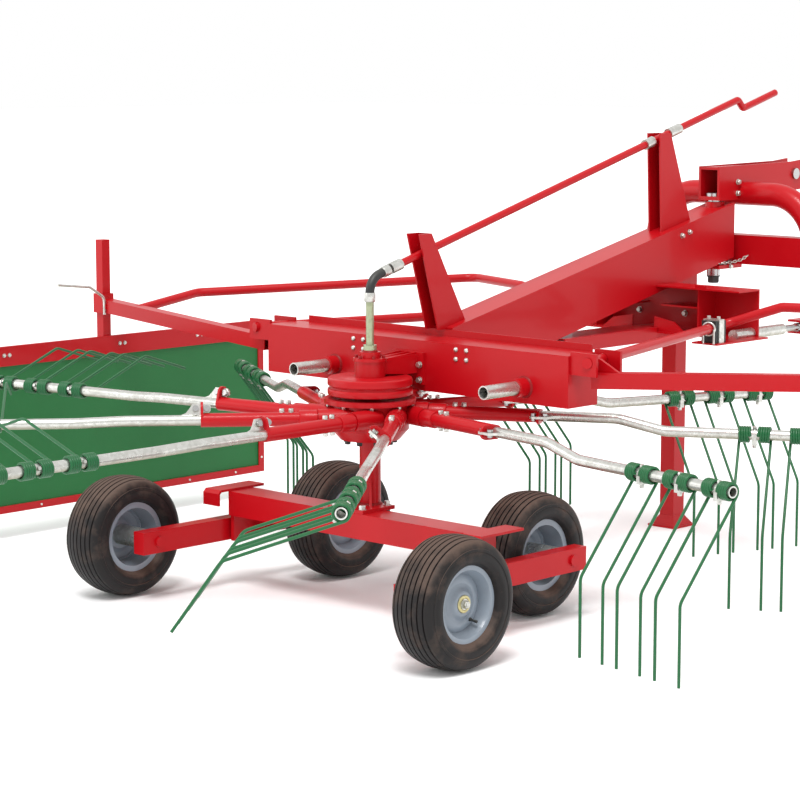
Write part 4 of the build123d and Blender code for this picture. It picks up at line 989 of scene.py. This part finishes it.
@dataclass
class Curtain:
    """Cloth that hangs from a rail on the left guard's post."""

    x: float = -1.800
    rear: float = -0.600
    front: float = 1.210
    top: float = 0.725
    bottom: float = 0.100
    thickness: float = 0.0012
    side_gap: float = 0.002
    top_gap: float = 0.004
    foot_gap: float = 0.002
    wave: float = 0.0016
    crease: float = 0.0012
    most_sway: float = 0.0018
    columns: int = 150
    rows: int = 52
    rail_height: float = 0.696
    rail_bolts: tuple[float, ...] = (-0.560, -0.100, 0.459, 0.860, 1.170)
    post_y: float = 0.396

    def flat_size(self) -> tuple[float, float]:
        """Cloth's height and length."""
        height = self.top - self.bottom - self.top_gap - self.foot_gap
        return height, self.front - self.rear - 2 * self.side_gap

    def sway(self, y: float, z: float, share: float) -> float:
        """Find how far the cloth hangs out of its plane.

        Args:
            y: place along the cloth.
            z: height of the place.
            share: 0 at the cloth's top and 1 at its foot.

        Returns:
            The distance to the right.
        """
        held = min(1.0, share * 6) * min(1.0, (1 - share) * 6)
        sway = self.wave * sin(y * 9.0 + 0.8) * share * (1 - share) * 3.2
        sway += self.crease * noise.noise(Vector((y * 3.1, z * 2.3, 0.4))) * held
        return cut_flat(sway, -self.most_sway, self.most_sway)

    def layer(self, mesh: Mesh, offset: float) -> list[list[bmesh.types.BMVert]]:
        """Place the points of one face of the cloth.

        Args:
            mesh: the cloth's builder.
            offset: how far the face lies to the right of the cloth's middle.

        Returns:
            Columns of points, each from top to foot.
        """
        height, length = self.flat_size()
        grid = []
        for column in range(self.columns + 1):
            y = self.rear + self.side_gap + length * column / self.columns
            line = []
            for row in range(self.rows + 1):
                share = row / self.rows
                z = self.top - self.top_gap - height * share
                line.append(mesh.bm.verts.new(at(self.x + offset + self.sway(y, z, share), y, z)))
            grid.append(line)
        return grid

    def cloth(self) -> None:
        """Sheet with the shallow waves of its own hang."""
        mesh = Mesh()
        columns, rows = self.columns, self.rows
        back = self.layer(mesh, -self.thickness / 2)
        face = self.layer(mesh, self.thickness / 2)
        for grid, flip in ((back, True), (face, False)):
            for i in range(columns):
                for j in range(rows):
                    quad = (grid[i][j], grid[i + 1][j], grid[i + 1][j + 1], grid[i][j + 1])
                    mesh.bm.faces.new(tuple(reversed(quad)) if flip else quad)
        for i in range(columns):
            for j in (0, rows):
                mesh.bm.faces.new((back[i][j], back[i + 1][j], face[i + 1][j], face[i][j]))
        for j in range(rows):
            for i in (0, columns):
                mesh.bm.faces.new((back[i][j], face[i][j], face[i][j + 1], back[i][j + 1]))
        obj = mesh.object("curtain_sheet", "cloth", "curtain", 60.0, "green_cloth")
        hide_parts("curtain_cloth")

    def rivets(self) -> None:
        """Pairs of bolts along the rail and rivets down the strips."""
        bolts = Mesh()
        face, back = self.x + 0.007, self.x - 0.007
        for y in self.rail_bolts:
            for step in (-0.0125, 0.0125):
                bolts.bolt(at(face, y + step, self.rail_height), X, 0.012, 0.0050, 1.3)
                if abs(y - self.post_y) > 0.1:
                    bolts.bolt(at(back, y + step, self.rail_height), -X, 0.012, 0.0060, 1.3)
        ends = [(y, z) for y in (self.rear + 0.014, self.front - 0.014) for z in (0.16, 0.34, 0.52)]
        foot = [(self.rear + 0.15 + count * 0.25, self.bottom + 0.014) for count in range(7)]
        rivet = [(0.0, 0.0), (0.0, 0.0050), (0.0014, 0.0042), (0.0024, 0.0)]
        for y, z in ends + foot:
            bolts.turned(at(face, y, z), X, rivet, 12)
        bolts.object("curtain_bolts", "zinc", "curtain", 30.0)

    def build(self) -> None:
        """Make the cloth and dress its rail, post and lever."""
        self.cloth()
        self.rivets()
        for node, finish in {"curtain_frame": "red", "curtain_post": "red", "curtain_lever": "zinc"}.items():
            dress_node(node, finish)


@dataclass
class Frame:
    """Beams, gearbox, posts and crank."""

    finishes: dict[str, str] = field(default_factory=lambda: {
        "gearbox": "red", "cross_beam": "red", "main_beam": "red", "front_bracket": "red",
        "drive_tunnel": "red", "crank_posts": "red", "crank": "red", "crank_bushes": "zinc",
        "crank_elbow": "rubber", "spindle_tube": "olive", "arm_holders": "zinc", "holder_bosses": "red",
        "strut_barrels": "zinc", "rest_blocks": "rubber", "rest_straps": "zinc",
    })
    cross_face: float = 0.188
    plate_face: float = 0.176
    holder_bolts: tuple[float, ...] = (-0.2610, -0.2150, 0.2065, 0.2520)
    holder_rows: tuple[float, ...] = (0.8255, 0.8570)
    boss_places: tuple[float, ...] = (-0.350, 0.500)
    boss_height: float = 0.762
    cover_top: float = 0.850
    post_bolts: tuple[tuple[float, float], ...] = ((1.580, 1.147), (1.624, 1.158), (0.370, 0.860),
                                                   (0.410, 0.869))
    bracket_bolts: tuple[tuple[float, float], ...] = ((-0.105, 0.866), (0.105, 0.866), (-0.330, 0.850),
                                                      (0.330, 0.850))
    bracket_faces: tuple[float, float] = (1.549, 1.555)
    shaft_height: float = 0.795
    spline_top: float = 0.01745
    spline_root: float = 0.0151
    spline_teeth: int = 21
    spline_runs: tuple[tuple[float, float], ...] = ((1.574, 1.628), (1.635, 1.650))
    crank_slope: float = 0.275
    strut_x: float = 0.400
    strut_mouth: float = 1.7402
    strut_height: float = 0.815
    rest_x: float = 0.425
    rest_y: float = 1.290
    rest_top: float = 0.889
    hoop_wire: float = 0.004

    def cam_drum(self) -> None:
        """Cam housing: a flat drum with rolled rims, a belt groove and a raised land on top."""
        profile = [(0.709, 0.0357), (0.709, 0.1235), (0.7105, 0.1345), (0.7135, 0.1382), (0.7200, 0.1389),
                   (0.7285, 0.1389), (0.7320, 0.1370), (0.7332, 0.1325), (0.7372, 0.1312), (0.7412, 0.1325),
                   (0.7424, 0.1370), (0.7450, 0.1389), (0.7600, 0.1389), (0.7648, 0.1375), (0.7672, 0.1340),
                   (0.7678, 0.1290), (0.7668, 0.1180), (0.7668, 0.0760), (0.7679, 0.0740), (0.7679, 0.0357)]
        drum = Mesh().turned(at(0, 0, 0), Z, profile, 96, closed=True)
        obj = drum.object("cam_drum", "red", "frame", 34.0, "red_paint")
        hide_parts("rotor_cap")

    def bolts(self) -> None:
        """Bolt groups of the cross beam, gearbox, posts and bracket."""
        mesh = Mesh()
        cup = [(0.0, 0.0), (0.0, 0.0085), (0.0026, 0.0080), (0.0052, 0.0058), (0.0068, 0.0)]
        for x in self.holder_bolts:
            for z in self.holder_rows:
                mesh.turned(at(x, self.cross_face, z), -Y, cup, 20)
        for x in (-0.057, 0.057):
            for z in (0.745, 0.796):
                mesh.bolt(at(x, self.plate_face, z), -Y, 0.017, 0.011)
        for side in (-1, 1):
            for y, z in self.post_bolts:
                mesh.bolt(at(side * 0.060, y, z), X * side, 0.015, 0.010)
        rear, front = self.bracket_faces
        for x, z in self.bracket_bolts:
            mesh.bolt(at(x, rear, z), -Y, 0.017, 0.011)
            mesh.bolt(at(x, front, z), Y, 0.017, 0.011)
        mesh.object("frame_bolts", "zinc", "frame", 30.0)
        screws = Mesh()
        for index in range(6):
            turn = radians(30.0 + index * 60.0)
            out = Vector((cos(turn), sin(turn), 0))
            screws.bolt(SHIFT + out * 0.0455 + Z * 0.830, Z, 0.010, 0.008, 1.2)
        for x in (-0.024, 0.024):
            screws.bolt(at(x, 0, self.cover_top), Z, 0.009, 0.006, 1.2)
        screws.object("gearbox_screws", "deep", "frame", 30.0)

    def spline_run(self, mesh: Mesh, start: float, end: float) -> None:
        """One length of splines, eased at both ends.

        Args:
            mesh: the shaft's builder.
            start: its rear end.
            end: its front end.
        """
        points = self.spline_teeth * 4
        rings = []
        for y, shrink in ((start, 0.0010), (start + 0.0012, 0.0), (end - 0.0012, 0.0), (end, 0.0010)):
            ring = []
            for index in range(points):
                a = 2 * pi * index / points
                r = (self.spline_top if index % 4 in (0, 1) else self.spline_root) - shrink
                ring.append(mesh.bm.verts.new(at(r * cos(a), y, self.shaft_height + r * sin(a))))
            rings.append(ring)
        for one, two in zip(rings, rings[1:]):
            for index in range(points):
                after = (index + 1) % points
                mesh.bm.faces.new((one[index], one[after], two[after], two[index]))
        mesh.bm.faces.new(rings[0])
        mesh.bm.faces.new(list(reversed(rings[-1])))

    def drive_shaft(self) -> None:
        """Input shaft with its shoulder, snap groove and splines."""
        mesh = Mesh()
        shaft = [(0.0, 0.0), (0.0, 0.0149), (1.416, 0.0149), (1.416, 0.0235), (1.4175, 0.0239),
                 (1.4205, 0.0239), (1.422, 0.0230), (1.422, 0.0)]
        mesh.turned(at(0, 0.152, self.shaft_height), Y, shaft, 40)
        for start, end in self.spline_runs:
            self.spline_run(mesh, start, end)
        groove = [(0.0, 0.0), (0.0, 0.0142), (0.009, 0.0142), (0.009, 0.0)]
        mesh.turned(at(0, 1.627, self.shaft_height), Y, groove, 32)
        obj = mesh.object("splined_shaft", "steel", "frame", 30.0, "machined_steel")
        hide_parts("input_shaft")

    def fittings(self) -> None:
        """Ferrules of the flexible joint, lock nuts of the struts and weld beads round the bosses and the
        cover's neck.
        """
        slope = Vector((0, 1, self.crank_slope)).normalized()
        ferrules = Mesh()
        lower = [(0.0, 0.0152), (0.0, 0.0172), (0.004, 0.0185), (0.026, 0.0185), (0.030, 0.0170),
                 (0.030, 0.0152)]
        ferrules.turned(at(0, 0, 1.0125), Z, lower, 36)
        upper = [(0.0, 0.0152), (0.0, 0.0170), (0.004, 0.0185), (0.0285, 0.0185), (0.0290, 0.0152)]
        ferrules.turned(at(0, 0.086, 1.1112) - slope * 0.030, slope, upper, 36)
        ferrules.object("flexible_ferrules", "zinc", "frame", 30.0)
        nuts = Mesh()
        hexagon = [(0.0, 0.0128), (0.0, 0.0175), (0.0010, 0.0185), (0.0060, 0.0185), (0.0070, 0.0175),
                   (0.0070, 0.0128)]
        for side in (-1, 1):
            mouth = at(side * self.strut_x, self.strut_mouth, self.strut_height)
            nuts.turned(mouth, Y, hexagon, 6, closed=True)
        nuts.object("strut_nuts", "zinc", "frame", 25.0)
        seams = Mesh()
        for x in self.boss_places:
            bead = [(0.0, 0.0360), (0.0035, 0.0345), (0.0060, 0.0302)]
            seams.turned(at(x, self.cross_face, self.boss_height), -Y, bead, 48)
        neck = [(0.0, 0.0265), (0.0040, 0.0245), (0.0055, 0.0222)]
        seams.turned(at(0, 0, self.cover_top + 0.0002), Z, neck, 40)
        seams.object("boss_welds", "deep", "frame", 60.0)

    def rests(self) -> None:
        """Screws on the straps of the guard rests and the hoop beside each of them."""
        screws, hoops = Mesh(), Mesh()
        for side in (-1, 1):
            for step in (-0.021, 0.021):
                seat = at(side * (self.rest_x + step), self.rest_y, self.rest_top)
                screws.bolt(seat, Z, 0.012, 0.009, 1.3)
            centre = at(side * 0.4391, 1.2435, 0.858)
            along = Vector((-0.2857 * side, 0.9584, 0))
            wire, bow = self.hoop_wire, 0.0222
            turns = [2 * pi * count / 10 for count in range(10)]
            section = [(wire * cos(a) - wire, bow + wire * sin(a)) for a in turns]
            hoops.turned(centre, along, section, 36, closed=True)
            for step in (-1, 1):
                foot = centre + X * side * bow * step - along * wire
                hoops.tube([foot, foot - Z * 0.052], wire, 10)
        screws.object("rest_screws", "zinc", "frame", 30.0)
        hoops.object("rest_hoops", "zinc", "frame", 40.0)

    def build(self) -> None:
        """Dress the frame and add its fittings."""
        for node, finish in self.finishes.items():
            dress_node(node, finish)
        self.cam_drum()
        self.bolts()
        self.drive_shaft()
        self.fittings()
        self.rests()


@dataclass
class Headstock:
    """Arch, cross box, top link bracket, pins and stand."""

    finishes: dict[str, str] = field(default_factory=lambda: {
        "headstock_arch": "red", "headstock_tie": "red", "top_box": "red", "kingpin": "steel",
        "hitch_pins": "steel", "stand": "red", "strut_rod_left": "steel", "strut_rod_right": "steel",
    })
    kingpin_y: float = 1.860
    kingpin_nut: float = 0.980
    link_bolts: tuple[float, ...] = (1.288, 1.330)
    stand_y: float = 1.840
    stand_height: float = 0.822
    pin_ring: float = 0.020
    ring_wire: float = 0.0022
    chain_pitch: float = 0.0105
    link_wire: float = 0.0014
    clip_height: float = 1.0298

    def bolts(self) -> None:
        """Bolts of the top link bracket, the kingpin's nut and the stand's pin."""
        mesh = Mesh()
        for side in (-1, 1):
            for z in self.link_bolts:
                mesh.bolt(at(side * 0.048, 1.937, z), X * side, 0.017, 0.011)
            mesh.bolt(at(side * 0.062, 1.880, 1.015), X * side, 0.013, 0.009)
        mesh.object("headstock_bolts", "zinc", "headstock", 30.0)
        nut = Mesh().bolt(at(0, self.kingpin_y, self.kingpin_nut), -Z, 0.040, 0.026, 1.25)
        nut.object("kingpin_nut", "dark", "headstock", 30.0)
        pin = Mesh()
        end = at(-0.215, self.stand_y, self.stand_height)
        pin.tube([end, end + X * 0.107], 0.007, 16)
        collar = [(0.0, 0.0), (0.0, 0.0120), (0.0040, 0.0120), (0.0050, 0.0)]
        pin.turned(end + X * 0.1035, X, collar, 24)
        hang = end + X * 0.005 - Z * 0.018
        turns = [2 * pi * count / 24 for count in range(25)]
        ring = [hang + (Y * sin(a) + Z * cos(a)) * self.pin_ring for a in turns]
        pin.tube(ring, self.ring_wire, 8)
        pin.object("stand_pin", "zinc", "headstock", 35.0)

    def chain(self) -> None:
        """Chain of the kingpin's safety clip, hung from the plate to the cross box."""
        line = [at(0.056, 1.822, 1.0312), at(0.064, 1.850, 1.0312), at(0.074, 1.885, 1.033),
                at(0.088, 1.915, 1.040), at(0.105, 1.944, 1.060)]
        places = []
        for one, two in zip(line, line[1:]):
            count = max(1, round((two - one).length / self.chain_pitch))
            places += [one.lerp(two, step / count) for step in range(count)]
        mesh = Mesh()
        turns = [2 * pi * count / 16 for count in range(17)]
        for index, (one, two) in enumerate(zip(places, places[1:])):
            along = (two - one).normalized()
            side = along.cross(Z).normalized() if index % 2 else along.cross(along.cross(Z)).normalized()
            middle = (one + two) / 2
            link = [middle + along * 0.0085 * cos(a) + side * 0.0045 * sin(a) for a in turns]
            mesh.tube(link, self.link_wire, 6)
        bends = ((0.030, 1.825), (0.056, 1.822), (0.061, 1.812), (0.052, 1.806), (0.030, 1.812))
        mesh.tube([at(x, y, self.clip_height) for x, y in bends], 0.0020, 8)
        mesh.object("safety_chain", "zinc", "headstock", 50.0)

    def build(self) -> None:
        """Dress the headstock and add its fittings."""
        for node, finish in self.finishes.items():
            dress_node(node, finish)
        self.bolts()
        self.chain()


class Guards:
    """Folding guards on both sides."""

    def build(self) -> None:
        """Dress the guards."""
        for side in ("left", "right"):
            dress_node(f"guard_bar_{side}", "red")
            dress_node(f"guard_loop_{side}", "red")


@dataclass
class Studio:
    """Pale floor, soft light and the camera."""

    eye: tuple[float, float, float] = (5.582, -5.719, 1.807)
    heading: tuple[float, float] = (-0.6897, 0.7241)
    dip: float = 7.95
    focal: float = 2476.0
    frame_px: float = 800.0
    sensor: float = 36.0
    floor_half: float = 60.0

    def camera(self) -> None:
        """Camera at the place and heading that the machine is seen from."""
        data = bpy.data.cameras.new("camera")
        data.sensor_width = self.sensor
        data.sensor_fit = "HORIZONTAL"
        data.lens = self.sensor * self.focal / self.frame_px
        data.clip_end = 100.0
        obj = bpy.data.objects.new("camera", data)
        bpy.context.scene.collection.objects.link(obj)
        obj.location = at(*self.eye)
        low = radians(self.dip)
        look = Vector((self.heading[0] * cos(low), self.heading[1] * cos(low), -sin(low)))
        obj.rotation_euler = look.to_track_quat("-Z", "Y").to_euler()
        bpy.context.scene.camera = obj

    def floor(self) -> None:
        """Wide pale floor under the machine."""
        mesh = bpy.data.meshes.new("floor")
        bm = bmesh.new()
        bmesh.ops.create_grid(bm, x_segments=1, y_segments=1, size=self.floor_half)
        bm.to_mesh(mesh)
        bm.free()
        obj = bpy.data.objects.new("floor", mesh)
        bpy.context.scene.collection.objects.link(obj)
        material = bpy.data.materials.new("floor")
        material.use_nodes = True
        shader = material.node_tree.nodes["Principled BSDF"]
        shader.inputs["Base Color"].default_value = (0.94, 0.94, 0.94, 1)
        shader.inputs["Roughness"].default_value = 0.9
        shader.inputs["Specular IOR Level"].default_value = 0.1
        obj.data.materials.append(material)

    def lamp(self, name: str, heading: tuple[float, float, float], spread: float, power: float) -> None:
        """Distant soft lamp.

        Args:
            name: the lamp's name.
            heading: direction that its light travels in.
            spread: how wide it looks, in degrees.
            power: its strength.
        """
        data = bpy.data.lights.new(name, "SUN")
        data.angle = radians(spread)
        data.energy = power
        obj = bpy.data.objects.new(name, data)
        bpy.context.scene.collection.objects.link(obj)
        obj.location = at(0, 0, 6)
        obj.rotation_euler = Vector(heading).to_track_quat("-Z", "Y").to_euler()

    def light(self) -> None:
        """White sky and two soft distant lamps."""
        world = bpy.data.worlds.new("sky")
        bpy.context.scene.world = world
        world.use_nodes = True
        world.node_tree.nodes["Background"].inputs["Color"].default_value = (1.0, 1.0, 1.0, 1)
        world.node_tree.nodes["Background"].inputs["Strength"].default_value = 1.0
        self.lamp("key", (-0.35, 0.55, -1.25), 22.0, 2.3)
        self.lamp("side", (0.9, 0.9, -0.5), 40.0, 0.5)

    def build(self) -> None:
        """Set the stage."""
        self.camera()
        self.floor()
        self.light()
        bpy.context.scene.view_settings.view_transform = "Standard"


def main() -> None:
    """Build the machine's looks in order."""
    logging.basicConfig(level=logging.INFO, format="%(name)s: %(message)s")
    Studio().build()
    RunningGear().build()
    Rotor().build()
    Frame().build()
    Headstock().build()
    Guards().build()
    Curtain().build()


if __name__ == "__main__":
    main()
